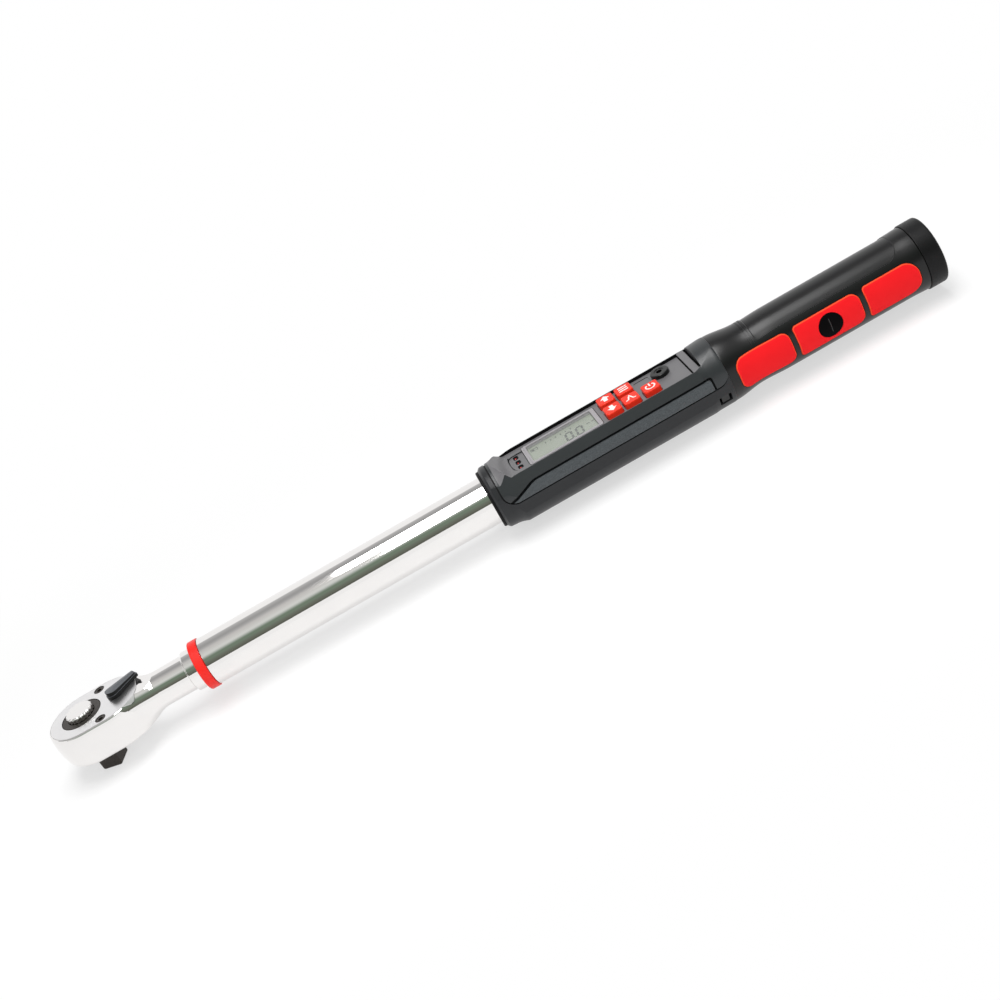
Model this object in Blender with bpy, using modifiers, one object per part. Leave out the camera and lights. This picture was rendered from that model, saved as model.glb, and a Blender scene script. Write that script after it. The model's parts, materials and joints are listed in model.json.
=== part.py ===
"""Electronic torque wrench with a half-inch ratchet drive, built as an assembly of separate solids.

Metres, +Z up. The origin is the centre of the square drive's tip face. The wrench axis runs along +X
from the drive axis to the end cap, AXIS_HEIGHT above the origin. Heights below are from the wrench axis.
"""

import math

import bmesh
import bpy
from mathutils import Matrix, Vector
from mathutils.geometry import interpolate_bezier

MM = 0.001

# Clearances and mesh settings
SEAT_GAP = 0.3 * MM
RUN_GAP = 0.3 * MM
OVERRUN = 1.0 * MM
CUT_STEP = 0.15 * MM
REACH = 40.0 * MM
MERGE = 0.00001
ROUND_STEPS = 30
INNER_STEPS = 16
DISC_STEPS = 20
SMALL_STEPS = 10

# Ratchet head
HEAD_RADIUS = 22.0 * MM
HEAD_TOP = 10.8 * MM
HEAD_BOTTOM = -11.5 * MM
HEAD_FLOOR = 3.0 * MM
HEAD_EDGE = 3.0 * MM
SHOULDER_START = 15.0 * MM
SHOULDER_END = 48.0 * MM
ENVELOPE_START = 20.0 * MM
ENVELOPE_RADIUS = 25.5 * MM
NECK_RADIUS = 10.6 * MM
NECK_BURY = 0.4 * MM
NECK_ROOT = 37.5 * MM
NECK_END = 63.6 * MM
PLATE_THICKNESS = 2.4 * MM
PLATE_REACH = 35.0 * MM
PLATE_INSET = 2.0 * MM
PLATE_EDGE = 0.8 * MM
COVER_SCREW_X = 11.9 * MM
COVER_SCREW_Y = 15.8 * MM
COVER_SCREW_RADIUS = 1.6 * MM
COVER_SCREW_LENGTH = 8.0 * MM
SCREW_HEAD_RADIUS = 3.1 * MM
SCREW_HEAD_HEIGHT = 1.3 * MM
SCREW_SUNK = 0.3 * MM
HEX_RADIUS = 1.6 * MM
HEX_DEPTH = 0.9 * MM

# Drive gear, square and ball lock
DRIVE_SIDE = 12.7 * MM
DRIVE_CORNER = 1.3 * MM
DRIVE_LENGTH = 14.2 * MM
DRIVE_TIP_EDGE = 0.9 * MM
DRIVE_YAW = math.radians(-21.0)
GEAR_TEETH = 36
GEAR_TIP = 14.6 * MM
TOOTH_DEPTH = 1.2 * MM
HUB_RADIUS = 12.25 * MM
JOURNAL_RADIUS = 10.0 * MM
JOURNAL_PROUD = 0.5 * MM
BUTTON_RADIUS = 8.25 * MM
BUTTON_RAISED = 3.4 * MM
BUTTON_SUNK = 1.5 * MM
BUTTON_TRAVEL = 2.5 * MM
BUTTON_SERRATIONS = 20
SERRATION_DEPTH = 0.5 * MM
BUTTON_EDGE = 0.5 * MM
RELEASE_SPRING_RADIUS = 5.0 * MM
RELEASE_SPRING_WIRE = 0.35 * MM
RELEASE_SPRING_TURNS = 2.25
SPRING_SOLID_HEIGHT = 1.8 * MM
BALL_RADIUS = 2.5 * MM
BALL_STICKOUT = 1.0 * MM
BALL_FROM_TIP = 7.6 * MM
RAMP_LENGTH = 1.5 * MM
GROOVE_LENGTH = 3.1 * MM
PIN_NOSE = 1.5 * MM
GROOVE_RELIEF = 0.05 * MM

# Reversing lever and pawl
LEVER_X = 22.0 * MM
LEVER_REST = math.radians(32.0)
LEVER_BASE_RADIUS = 4.5 * MM
LEVER_TIP_RADIUS = 2.9 * MM
LEVER_LENGTH = 14.0 * MM
LEVER_HEIGHT = 4.4 * MM
LEVER_TIP_DROP = 1.2 * MM
LEVER_EDGE = 0.7 * MM
LEVER_SHAFT_RADIUS = 3.4 * MM
PLUNGER_RADIUS = 1.2 * MM
PLUNGER_LENGTH = 3.0 * MM
PLUNGER_STICKOUT = 0.55 * MM
PLUNGER_BORE_BACK = 2.2 * MM
PLUNGER_SPRING_WIRE = 0.18 * MM
PLUNGER_SPRING_TURNS = 2.5
PAWL_SWING = math.radians(9.5)
PAWL_HALF_ANGLE = 32.0
PAWL_LAND_ANGLE = 12.0
PAWL_BACK = 18.4 * MM
PAWL_THROAT = 0.5 * MM
PAWL_ROOM = 1.5 * MM
PAWL_ROOM_ANGLE = 7.0

# Collar, ring, tube and the measuring shank inside it
COLLAR_RADIUS = 12.15 * MM
COLLAR_LENGTH = 7.0 * MM
COLLAR_RISE = 0.9 * MM
RING_RADIUS = 15.1 * MM
RING_LENGTH = 5.7 * MM
TUBE_RADIUS = 14.3 * MM
TUBE_WALL = 2.0 * MM
TUBE_EXPOSED = 182.1 * MM
TUBE_MILLED = 5.0 * MM
SPIGOT_LENGTH = 41.0 * MM
BEAM_RADIUS = 8.5 * MM
BEAM_LENGTH = 78.0 * MM
BEAM_FLAT = 6.0 * MM
PLUG_LENGTH = 14.0 * MM
LEAD_NOTCH = 2.4 * MM
GAUGE_SIZE = (16.0 * MM, 0.8 * MM, 7.0 * MM)
LEAD_RADIUS = 0.9 * MM

# Housing
SEAL_RADIUS = 17.4 * MM
SEAL_LENGTH = 2.4 * MM
NOSE_RADIUS = 19.0 * MM
NOSE_LENGTH = 5.2 * MM
NOSE_EDGE = 1.2 * MM
HOUSING_RADIUS = 20.9 * MM
SHOULDER_HALF = 20.3 * MM
SHOULDER_Z = 8.0 * MM
RIM_HALF = 17.4 * MM
RIM_Z = 14.5 * MM
BLANK_TOP = 21.5 * MM
PARTING_Z = -1.5 * MM
PARTING_GAP = 0.3 * MM
HOUSING_ENVELOPE = 23.5 * MM
FRONT_TAPER = 16.0 * MM
REAR_RADIUS = 20.6 * MM
BAND_DEPTH = 0.7 * MM
BAND_LEAD = 4.0 * MM
BAND_TRAIL = 5.0 * MM
BAND_CORNER = 3.5 * MM
PANEL_Z = 12.4 * MM
PANEL_HALF = 13.2 * MM
PANEL_WALL_SLOPE = 1.05
PANEL_THICKNESS = 1.5 * MM
SCOOP_START = 1.5 * MM
SCOOP_END = 12.0 * MM
SCOOP_TOP = 19.8 * MM
RIM_INSET = 0.8 * MM
REAR_STEP_LENGTH = 6.0 * MM
REAR_STEP_RISE = 3.7 * MM
SLEEVE_LENGTH = 10.0 * MM
SLEEVE_WALL = 2.8 * MM
CAVITY_HALF = 13.0 * MM

# Board, display, keys, lamps and jack
BOARD_HALF = 12.6 * MM
BOARD_THICKNESS = 1.6 * MM
BOARD_LEAD = 5.0 * MM
BOARD_TRAIL = 9.0 * MM
LED_OFFSET = 17.4 * MM
LED_PITCH = 6.2 * MM
LED_RADIUS = 1.5 * MM
LED_RECESS = (10.0 * MM, 18.0 * MM)
LED_RECESS_DEPTH = 0.7 * MM
LED_TO_BEZEL = 5.1 * MM
BEZEL_SIZE = (46.9 * MM, 24.4 * MM)
BEZEL_PROUD = 0.3 * MM
BEZEL_CORNER = 1.5 * MM
WINDOW_SIZE = (41.0 * MM, 20.0 * MM)
WINDOW_THICKNESS = 1.2 * MM
LCD_MARGIN = 1.5 * MM
KEY_SIZE = (10.0 * MM, 10.2 * MM)
KEY_CORNER = 1.4 * MM
KEY_EDGE = 0.7 * MM
KEY_RAISED = 3.5 * MM
KEY_TRAVEL = 0.8 * MM
KEY_FLANGE = 0.55 * MM
KEY_FLANGE_THICKNESS = 1.2 * MM
KEY_STEM = 3.0 * MM
KEY_OVERLAP = 0.4 * MM
KEY_ROW_Y = 7.0 * MM
KEY_PITCH = 11.6 * MM
BEZEL_TO_KEY = 8.2 * MM
KEY_TO_POWER = 12.8 * MM
POWER_TO_JACK = 9.8 * MM
JACK_Y = 6.0 * MM
JACK_RADIUS = 5.65 * MM
JACK_BODY_RADIUS = 3.4 * MM
JACK_BORE_RADIUS = 1.75 * MM
JACK_RAISED = 2.2 * MM
JACK_EDGE = 0.55 * MM
JACK_TO_PANEL_END = 14.2 * MM
BUZZER_RADIUS = 4.5 * MM
BUZZER_HEIGHT = 2.4 * MM
BUZZER_SPOT = (2.2 * MM, -6.0 * MM)

# Housing screws and latch tongues
HOUSING_SCREW_Y = 16.8 * MM
HOUSING_SCREW_RADIUS = 1.1 * MM
HOUSING_SCREW_HEAD = 1.9 * MM
HOUSING_SCREW_SEAT = -6.0 * MM
HOUSING_SCREW_HEAD_HEIGHT = 1.6 * MM
HOUSING_SCREW_TOP = 6.0 * MM
SCREW_FROM_FRONT = 16.0 * MM
SCREW_FROM_PANEL_END = 6.0 * MM
LATCH_ANGLE = math.radians(-27.0)
LATCH_SIZE = (4.6 * MM, 4.0 * MM)
LATCH_FROM_REAR = 6.5 * MM
LATCH_SUNK = 1.0 * MM

# Handle, pads, battery tube and end cap
HANDLE_FRONT_RADIUS = 20.4 * MM
WAIST_RADIUS = 18.5 * MM
WAIST_OFFSET = 19.0 * MM
GRIP_RADIUS = 19.1 * MM
GRIP_OFFSET = 36.0 * MM
HANDLE_REAR_RADIUS = 19.5 * MM
FLARE_LENGTH = 12.0 * MM
HANDLE_SPIGOT_LENGTH = 9.0 * MM
PAD_LENGTHS = (33.1 * MM, 41.1 * MM, 33.6 * MM)
PAD_SPACE = 3.2 * MM
PAD_LEAD = 6.5 * MM
PAD_TRAIL = 5.1 * MM
PAD_LOW = -11.2 * MM
PAD_HIGH = 8.7 * MM
PAD_CORNER = 4.5 * MM
PAD_PROUD = 0.4 * MM
PAD_DEPTH = 2.0 * MM
DISC_RADIUS = 7.2 * MM
DISC_PROUD = 0.5 * MM
RIDGE_HALF = 15.2 * MM
RIDGE_PROUD = 0.7 * MM
RIDGE_LEAD = 22.0 * MM
RIDGE_TRAIL = 9.0 * MM
RIDGE_CORNER = 9.0 * MM
RIDGE_ROOT = 2.0 * MM
CAP_RADIUS = 20.2 * MM
CAP_LENGTH = 11.0 * MM
CAP_EDGE = 1.5 * MM
CAP_DISH = 1.2 * MM
CAP_RIM = 5.0 * MM
CAP_SPIGOT_LENGTH = 9.0 * MM
CAP_SEAL_SPACE = 3.0 * MM
CAP_SEAL_WIRE = 0.85 * MM
CELL_RADIUS = 7.25 * MM
CELL_LENGTH = 49.2 * MM
CELL_BUTTON = (2.75 * MM, 1.3 * MM)
CELL_EDGE = 0.6 * MM
CONTACT_SPRING_LENGTH = 4.6 * MM
CONTACT_SPRING_RADIUS = 5.0 * MM
CONTACT_SPRING_WIRE = 0.4 * MM
CONTACT_SPRING_TURNS = 2.5
CONTACT_PLATE = (6.0 * MM, 0.6 * MM)
LINER_WALL = 2.0 * MM
LINER_HOLE = 2.5 * MM

# Heights and stations that follow from the sizes above
AXIS_HEIGHT = DRIVE_LENGTH - HEAD_BOTTOM
PLATE_SEAT = HEAD_TOP - PLATE_THICKNESS
POCKET_FLOOR = HEAD_BOTTOM + HEAD_FLOOR
GEAR_ROOT = GEAR_TIP - TOOTH_DEPTH
PAWL_X = (GEAR_TIP + PAWL_BACK) / 2
TUBE_BORE = TUBE_RADIUS - TUBE_WALL
BALL_CENTRE = DRIVE_SIDE / 2 + BALL_STICKOUT - BALL_RADIUS
PIN_RADIUS = BALL_CENTRE - BALL_RADIUS - RUN_GAP
BALL_Z = BALL_FROM_TIP - AXIS_HEIGHT
BUTTON_LOW = HEAD_TOP - BUTTON_SUNK
SPRING_SEAT = BUTTON_LOW - BUTTON_TRAVEL - SPRING_SOLID_HEIGHT
COLLAR_END = NECK_END + COLLAR_LENGTH
RING_END = COLLAR_END + RING_LENGTH
SPIGOT_END = COLLAR_END + SPIGOT_LENGTH
BEAM_END = SPIGOT_END + BEAM_LENGTH
PLUG_END = BEAM_END + PLUG_LENGTH
SEAL_FRONT = RING_END + TUBE_EXPOSED
NOSE_FRONT = SEAL_FRONT + SEAL_LENGTH
SHELL_FRONT = NOSE_FRONT + NOSE_LENGTH
LED_X = SHELL_FRONT + LED_OFFSET
BEZEL_FRONT = LED_X + LED_TO_BEZEL
BEZEL_X = BEZEL_FRONT + BEZEL_SIZE[0] / 2
KEY_X = BEZEL_FRONT + BEZEL_SIZE[0] + BEZEL_TO_KEY
POWER_X = KEY_X + KEY_PITCH + KEY_TO_POWER
JACK_X = POWER_X + POWER_TO_JACK
PANEL_END = JACK_X + JACK_TO_PANEL_END
STEP_END = PANEL_END + REAR_STEP_LENGTH
SHELL_REAR = STEP_END + SLEEVE_LENGTH
PANEL_UNDER = PANEL_Z - PANEL_THICKNESS
BOARD_LOW = TUBE_MILLED + SEAT_GAP
BOARD_TOP = BOARD_LOW + BOARD_THICKNESS
BOARD_FRONT = LED_X - BOARD_LEAD
BOARD_REAR = JACK_X + BOARD_TRAIL
MILL_FRONT = SHELL_FRONT + SCOOP_END / 2
HANDLE_FRONT = SHELL_REAR + SEAT_GAP
PAD_FRONTS = [HANDLE_FRONT + PAD_LEAD]
for pad_length in PAD_LENGTHS[:-1]:
    PAD_FRONTS.append(PAD_FRONTS[-1] + pad_length + PAD_SPACE)
CAP_FRONT = PAD_FRONTS[-1] + PAD_LENGTHS[-1] + PAD_TRAIL
HANDLE_REAR = CAP_FRONT - SEAT_GAP
TUBE_REAR = CAP_FRONT - CAP_SEAL_SPACE
CAP_SPIGOT_FRONT = CAP_FRONT - CAP_SPIGOT_LENGTH
REAR_CELL_END = CAP_SPIGOT_FRONT - CONTACT_SPRING_LENGTH
CELL_PITCH = CELL_LENGTH + CELL_BUTTON[1] + SEAT_GAP
LINER_INSIDE = REAR_CELL_END - 2 * CELL_PITCH - SEAT_GAP - CONTACT_PLATE[1] - SEAT_GAP
LINER_FRONT = LINER_INSIDE - LINER_WALL

# Colour, roughness and metallic value of each finish
FINISHES = {
    "polished_chrome": ((0.86, 0.85, 0.84), 0.08, 1.0),
    "black_steel": ((0.055, 0.05, 0.045), 0.38, 1.0),
    "gunmetal": ((0.09, 0.095, 0.1), 0.35, 0.8),
    "spring_steel": ((0.55, 0.55, 0.56), 0.3, 1.0),
    "charcoal_plastic": ((0.052, 0.056, 0.06), 0.5, 0.0),
    "black_plastic": ((0.018, 0.018, 0.02), 0.42, 0.0),
    "grey_plastic": ((0.3, 0.29, 0.3), 0.5, 0.0),
    "black_rubber": ((0.02, 0.02, 0.02), 0.7, 0.0),
    "red_plastic": ((0.85, 0.025, 0.015), 0.35, 0.0),
    "red_rubber": ((0.83, 0.02, 0.02), 0.5, 0.0),
    "display_glass": ((0.45, 0.5, 0.42), 0.1, 0.0),
    "display_cell": ((0.38, 0.42, 0.34), 0.3, 0.0),
    "board_green": ((0.03, 0.16, 0.07), 0.5, 0.0),
    "lamp_red": ((0.5, 0.02, 0.02), 0.2, 0.0),
    "copper_film": ((0.6, 0.35, 0.12), 0.4, 0.6),
    "cell_jacket": ((0.1, 0.12, 0.16), 0.35, 0.3),
}


# Scene and modelling helpers


def empty_scene():
    for leftover in list(bpy.data.objects):
        bpy.data.objects.remove(leftover)


def new_collection(name):
    collection = bpy.data.collections.new(name)
    bpy.context.scene.collection.children.link(collection)
    return collection


empty_scene()
PARTS = new_collection("torque_wrench")
CUTTERS = new_collection("cutters")


def frame(name, location, turn=0.0, parent=None):
    """An empty that pieces are placed on; turn is about Z."""
    empty = bpy.data.objects.new(name, None)
    PARTS.objects.link(empty)
    empty.parent = parent
    empty.location = location
    empty.rotation_euler = (0, 0, turn)
    return empty


WRENCH_AXIS = frame("wrench_axis", (0, 0, AXIS_HEIGHT))
DRIVE_AXIS = frame("drive_axis", (0, 0, 0), DRIVE_YAW, WRENCH_AXIS)
LEVER_AXIS = frame("lever_axis", (LEVER_X, 0, 0), LEVER_REST, WRENCH_AXIS)
PAWL_AXIS = frame("pawl_axis", (PAWL_X, 0, 0), -PAWL_SWING / 2, WRENCH_AXIS)
PAWL_TO_DRIVE = Matrix.Rotation(-PAWL_SWING, 2) @ Vector((-PAWL_X, 0))
OTHER_THROW = frame(
    "other_throw", (PAWL_X + PAWL_TO_DRIVE.x, PAWL_TO_DRIVE.y, 0), DRIVE_YAW - PAWL_SWING, WRENCH_AXIS
)


def finish(name):
    material = bpy.data.materials.get(name)
    if material is None:
        colour, roughness, metallic = FINISHES[name]
        material = bpy.data.materials.new(name)
        material.use_nodes = True
        shader = material.node_tree.nodes["Principled BSDF"]
        shader.inputs["Base Color"].default_value = (*colour, 1.0)
        shader.inputs["Roughness"].default_value = roughness
        shader.inputs["Metallic"].default_value = metallic
    return material


def place(name, data, home, location=(0, 0, 0), look="spring_steel"):
    obj = bpy.data.objects.new(name, data)
    PARTS.objects.link(obj)
    obj.parent = home
    obj.location = location
    data.materials.append(finish(look))
    return obj


def carve(target, tool, operation="DIFFERENCE"):
    """Cuts target with tool, or joins or intersects them; the tool becomes a hidden helper."""
    modifier = target.modifiers.new(tool.name, "BOOLEAN")
    modifier.operation = operation
    modifier.object = tool
    tool.hide_render = True
    tool.display_type = "WIRE"
    PARTS.objects.unlink(tool)
    CUTTERS.objects.link(tool)
    return target


def soften(obj, width, segments=1):
    """Rounds the edges where faces meet steeply, and leaves the facets of curves alone."""
    modifier = obj.modifiers.new("soft_edges", "BEVEL")
    modifier.width = width
    modifier.segments = segments
    modifier.limit_method = "ANGLE"
    modifier.angle_limit = math.radians(60)
    return obj


def prism(name, outline, low, high, along="Z", home=WRENCH_AXIS, location=(0, 0, 0), look="spring_steel"):
    """A flat outline given a thickness from low to high along X, Y or Z."""
    curve = bpy.data.curves.new(name, "CURVE")
    curve.dimensions = "2D"
    curve.fill_mode = "BOTH"
    curve.extrude = (high - low) / 2
    spline = curve.splines.new("POLY")
    spline.points.add(len(outline) - 1)
    spline.use_cyclic_u = True
    for point, (u, v) in zip(spline.points, outline):
        point.co = (u, v, 0, 1)
    guide = bpy.data.objects.new(name, curve)
    CUTTERS.objects.link(guide)
    mesh = bpy.data.meshes.new_from_object(guide.evaluated_get(bpy.context.evaluated_depsgraph_get()))
    bpy.data.objects.remove(guide)
    bpy.data.curves.remove(curve)
    middle = (low + high) / 2
    order = {"X": (2, 0, 1), "Y": (0, 2, 1), "Z": (0, 1, 2)}[along]
    for vertex in mesh.vertices:
        flat = (vertex.co.x, vertex.co.y, vertex.co.z + middle)
        vertex.co = [flat[index] for index in order]
    tidy_mesh(mesh)
    mesh.materials.clear()
    return place(name, mesh, home, location, look)


def tidy_mesh(mesh):
    """Welds the loose caps of an extruded outline and turns its faces outwards."""
    work = bmesh.new()
    work.from_mesh(mesh)
    bmesh.ops.remove_doubles(work, verts=work.verts, dist=MERGE)
    bmesh.ops.recalc_face_normals(work, faces=work.faces)
    work.to_mesh(mesh)
    work.free()


def turned(
    name, profile, along="X", home=WRENCH_AXIS, location=(0, 0, 0), look="spring_steel", steps=ROUND_STEPS
):
    """A profile of (distance along the axis, radius) points turned about X, Y or Z."""
    area = sum(a[0] * b[1] - b[0] * a[1] for a, b in zip(profile, profile[1:] + profile[:1]))
    points = profile if area > 0 else profile[::-1]
    mesh = bpy.data.meshes.new(name)
    on_axis = points[0][1] == 0 and points[-1][1] == 0
    edges = [(index, index + 1) for index in range(len(points) - 1)]
    if not on_axis:
        edges.append((len(points) - 1, 0))
    mesh.from_pydata([(radius, 0, distance) for distance, radius in points], edges, [])
    obj = place(name, mesh, home, location, look)
    obj.rotation_euler = {"X": (0, math.pi / 2, 0), "Y": (-math.pi / 2, 0, 0), "Z": (0, 0, 0)}[along]
    screw = obj.modifiers.new("turning", "SCREW")
    screw.steps = steps
    screw.render_steps = steps
    screw.use_merge_vertices = True
    screw.merge_threshold = MERGE
    screw.use_smooth_shade = True
    return obj


def rod(name, radius, low, high, along="X", home=WRENCH_AXIS, location=(0, 0, 0), **finishing):
    profile = [(low, 0), (low, radius), (high, radius), (high, 0)]
    return turned(name, profile, along, home, location, **finishing)


def sleeve(name, inner, outer, low, high, look):
    return turned(name, [(low, inner), (low, outer), (high, outer), (high, inner)], look=look)


def block(name, low, high, home=WRENCH_AXIS, look="spring_steel"):
    """A box between two corners, with its origin at its middle."""
    size = [b - a for a, b in zip(low, high)]
    work = bmesh.new()
    bmesh.ops.create_cube(work, size=1.0, matrix=Matrix.Diagonal((*size, 1.0)))
    mesh = bpy.data.meshes.new(name)
    work.to_mesh(mesh)
    work.free()
    return place(name, mesh, home, [(a + b) / 2 for a, b in zip(low, high)], look)


def wire(name, points, radius, home=WRENCH_AXIS, location=(0, 0, 0), look="spring_steel"):
    curve = bpy.data.curves.new(name, "CURVE")
    curve.dimensions = "3D"
    curve.bevel_depth = radius
    curve.bevel_resolution = 1
    curve.use_fill_caps = True
    spline = curve.splines.new("POLY")
    spline.points.add(len(points) - 1)
    for point, spot in zip(spline.points, points):
        point.co = (*spot, 1)
    return place(name, curve, home, location, look)


def coil(radius, low, high, turns, along="Z", per_turn=8):
    """Points of a helix about the axis, from low to high along it."""
    count = round(turns * per_turn)
    points = []
    for index in range(count + 1):
        angle = 2 * math.pi * index / per_turn
        height = low + (high - low) * index / count
        across = (radius * math.cos(angle), radius * math.sin(angle))
        points.append((*across, height) if along == "Z" else (height, *across))
    return points


def smooth_route(knots, per_span=4):
    """Points of a smooth curve through the knots."""
    knots = [Vector(knot) for knot in knots]
    padded = [2 * knots[0] - knots[1], *knots, 2 * knots[-1] - knots[-2]]
    points = [knots[0]]
    for before, start, end, after in zip(padded, padded[1:], padded[2:], padded[3:]):
        leave = start + (end - before) / 6
        arrive = end - (after - start) / 6
        points.extend(interpolate_bezier(start, leave, arrive, end, per_span + 1)[1:])
    return points


def arc(centre, radius, start, end, count):
    """Points along an arc, angles in degrees, both ends included."""
    angles = [math.radians(start + (end - start) * index / count) for index in range(count + 1)]
    return [(centre[0] + radius * math.cos(a), centre[1] + radius * math.sin(a)) for a in angles]


def circle(centre, radius, count=ROUND_STEPS):
    return arc(centre, radius, 0, 360 * (1 - 1 / count), count - 1)


def rounded_rectangle(low, high, corner, count=2):
    """Corner points run anticlockwise from the lower left."""
    corners = [(low[0], low[1], 180), (high[0], low[1], 270), (high[0], high[1], 0), (low[0], high[1], 90)]
    points = []
    for u, v, start in corners:
        centre = (u + corner * (1 if u == low[0] else -1), v + corner * (1 if v == low[1] else -1))
        points += arc(centre, corner, start, start + 90, count)
    return points


def centred(middle, size, grow=0.0):
    """Low and high corners of a rectangle about a middle."""
    halves = [side / 2 + grow for side in size]
    low = [m - h for m, h in zip(middle, halves)]
    high = [m + h for m, h in zip(middle, halves)]
    return low, high


def toothed(count, tip, root):
    """A ring of V teeth."""
    points = []
    for index in range(2 * count):
        angle = math.pi * index / count
        radius = root if index % 2 else tip
        points.append((radius * math.cos(angle), radius * math.sin(angle)))
    return points


def blend(start, end, first, last, count=8):
    """(place, value) points that ease from first to last between two places."""
    points = []
    for index in range(count + 1):
        ease = (1 - math.cos(math.pi * index / count)) / 2
        points.append((start + (end - start) * index / count, first + (last - first) * ease))
    return points


# Ratchet head


def head_outline(inset=0.0):
    side = blend(SHOULDER_START, SHOULDER_END, HEAD_RADIUS - inset, NECK_RADIUS - NECK_BURY - inset)
    front = arc((0, 0), HEAD_RADIUS - inset, 90, 270, ROUND_STEPS // 2)
    return side[::-1] + front + [(x, -half) for x, half in side]


def head_envelope():
    """Rounds the flat head off into the round neck."""
    front = -HEAD_RADIUS - OVERRUN
    taper = blend(ENVELOPE_START, SHOULDER_END, ENVELOPE_RADIUS, NECK_RADIUS - NECK_BURY)
    profile = [(front, 0), (front, ENVELOPE_RADIUS)] + taper + [(SHOULDER_END, 0)]
    return turned("head_envelope", profile)


def shank():
    """Neck, collar, spigot in the tube, measuring beam and rear plug, turned in one piece."""
    fit = TUBE_BORE - SEAT_GAP
    profile = [
        (NECK_ROOT, 0),
        (NECK_ROOT, NECK_RADIUS),
        (NECK_END, NECK_RADIUS),
        (NECK_END + COLLAR_RISE, COLLAR_RADIUS),
        (COLLAR_END - SEAT_GAP, COLLAR_RADIUS),
        (COLLAR_END - SEAT_GAP, fit),
        (SPIGOT_END, fit),
        (SPIGOT_END, BEAM_RADIUS),
        (BEAM_END, BEAM_RADIUS),
        (BEAM_END, fit),
        (PLUG_END, fit),
        (PLUG_END, 0),
    ]
    return turned("shank", profile)


def pawl_pocket(name, low, high):
    outer = PAWL_BACK + PAWL_ROOM
    half = PAWL_HALF_ANGLE + PAWL_ROOM_ANGLE
    outline = arc((0, 0), outer, -half, half, 8) + arc((0, 0), GEAR_ROOT, half, -half, 6)
    return prism(name, outline, low, high)


def make_ratchet_head():
    head = prism("ratchet_head", head_outline(), HEAD_BOTTOM, HEAD_TOP, look="polished_chrome")
    soften(head, HEAD_EDGE, 2)
    carve(head, head_envelope(), "INTERSECT")
    carve(head, shank(), "UNION")
    above = HEAD_TOP + OVERRUN
    seat = prism("plate_seat", head_outline(PLATE_INSET - SEAT_GAP), PLATE_SEAT - SEAT_GAP, above)
    seat_end = rod("plate_seat_end", PLATE_REACH + SEAT_GAP, 0, above + OVERRUN, along="Z")
    carve(head, carve(seat, seat_end, "INTERSECT"))
    carve(head, rod("gear_pocket", GEAR_TIP + RUN_GAP, POCKET_FLOOR, above, along="Z"))
    carve(head, rod("journal_hole", JOURNAL_RADIUS + RUN_GAP, HEAD_BOTTOM - OVERRUN, above, along="Z"))
    carve(head, pawl_pocket("pawl_pocket", POCKET_FLOOR - CUT_STEP, above))
    lever_spot = (LEVER_X, 0, 0)
    lever_room = LEVER_SHAFT_RADIUS + RUN_GAP
    lever_floor = POCKET_FLOOR - 2 * CUT_STEP
    carve(head, rod("lever_pocket", lever_room, lever_floor, above, along="Z", location=lever_spot))
    for side, sign in (("left", -1), ("right", 1)):
        hole = rod(
            f"cover_thread_{side}",
            COVER_SCREW_RADIUS + SEAT_GAP,
            PLATE_SEAT - COVER_SCREW_LENGTH - OVERRUN,
            above,
            along="Z",
            location=(COVER_SCREW_X, sign * COVER_SCREW_Y, 0),
            steps=SMALL_STEPS,
        )
        carve(head, hole)
        inner, outer = sorted((sign * BEAM_FLAT, sign * REACH))
        flat = block(
            f"beam_flat_{side}",
            (SPIGOT_END + OVERRUN, inner, -REACH),
            (BEAM_END - OVERRUN, outer, REACH),
        )
        carve(head, flat)
    notch = block(
        "lead_notch",
        (BEAM_END - 2 * OVERRUN, -REACH, -LEAD_NOTCH),
        (PLUG_END + OVERRUN, -BEAM_FLAT + CUT_STEP, LEAD_NOTCH),
    )
    carve(head, notch)


def make_head_cover():
    cover = prism("head_cover", head_outline(PLATE_INSET), PLATE_SEAT, HEAD_TOP, look="polished_chrome")
    soften(cover, PLATE_EDGE)
    through = (PLATE_SEAT - OVERRUN, HEAD_TOP + OVERRUN)
    carve(cover, rod("cover_reach", PLATE_REACH, *through, along="Z"), "INTERSECT")
    carve(cover, rod("hub_hole", HUB_RADIUS + RUN_GAP, *through, along="Z"))
    lever_spot = (LEVER_X, 0, 0)
    carve(cover, rod("lever_hole", LEVER_SHAFT_RADIUS + RUN_GAP, *through, along="Z", location=lever_spot))
    for side, sign in (("left", -1), ("right", 1)):
        spot = (COVER_SCREW_X, sign * COVER_SCREW_Y, 0)
        make_cover_screw(f"cover_screw_{side}", spot)
        seat = HEAD_TOP - SCREW_SUNK - SCREW_HEAD_HEIGHT - SEAT_GAP
        hole = [
            (through[0], 0),
            (through[0], COVER_SCREW_RADIUS + SEAT_GAP),
            (seat, COVER_SCREW_RADIUS + SEAT_GAP),
            (seat, SCREW_HEAD_RADIUS + SEAT_GAP),
            (through[1], SCREW_HEAD_RADIUS + SEAT_GAP),
            (through[1], 0),
        ]
        carve(cover, turned(f"cover_hole_{side}", hole, along="Z", location=spot, steps=SMALL_STEPS))


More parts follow.
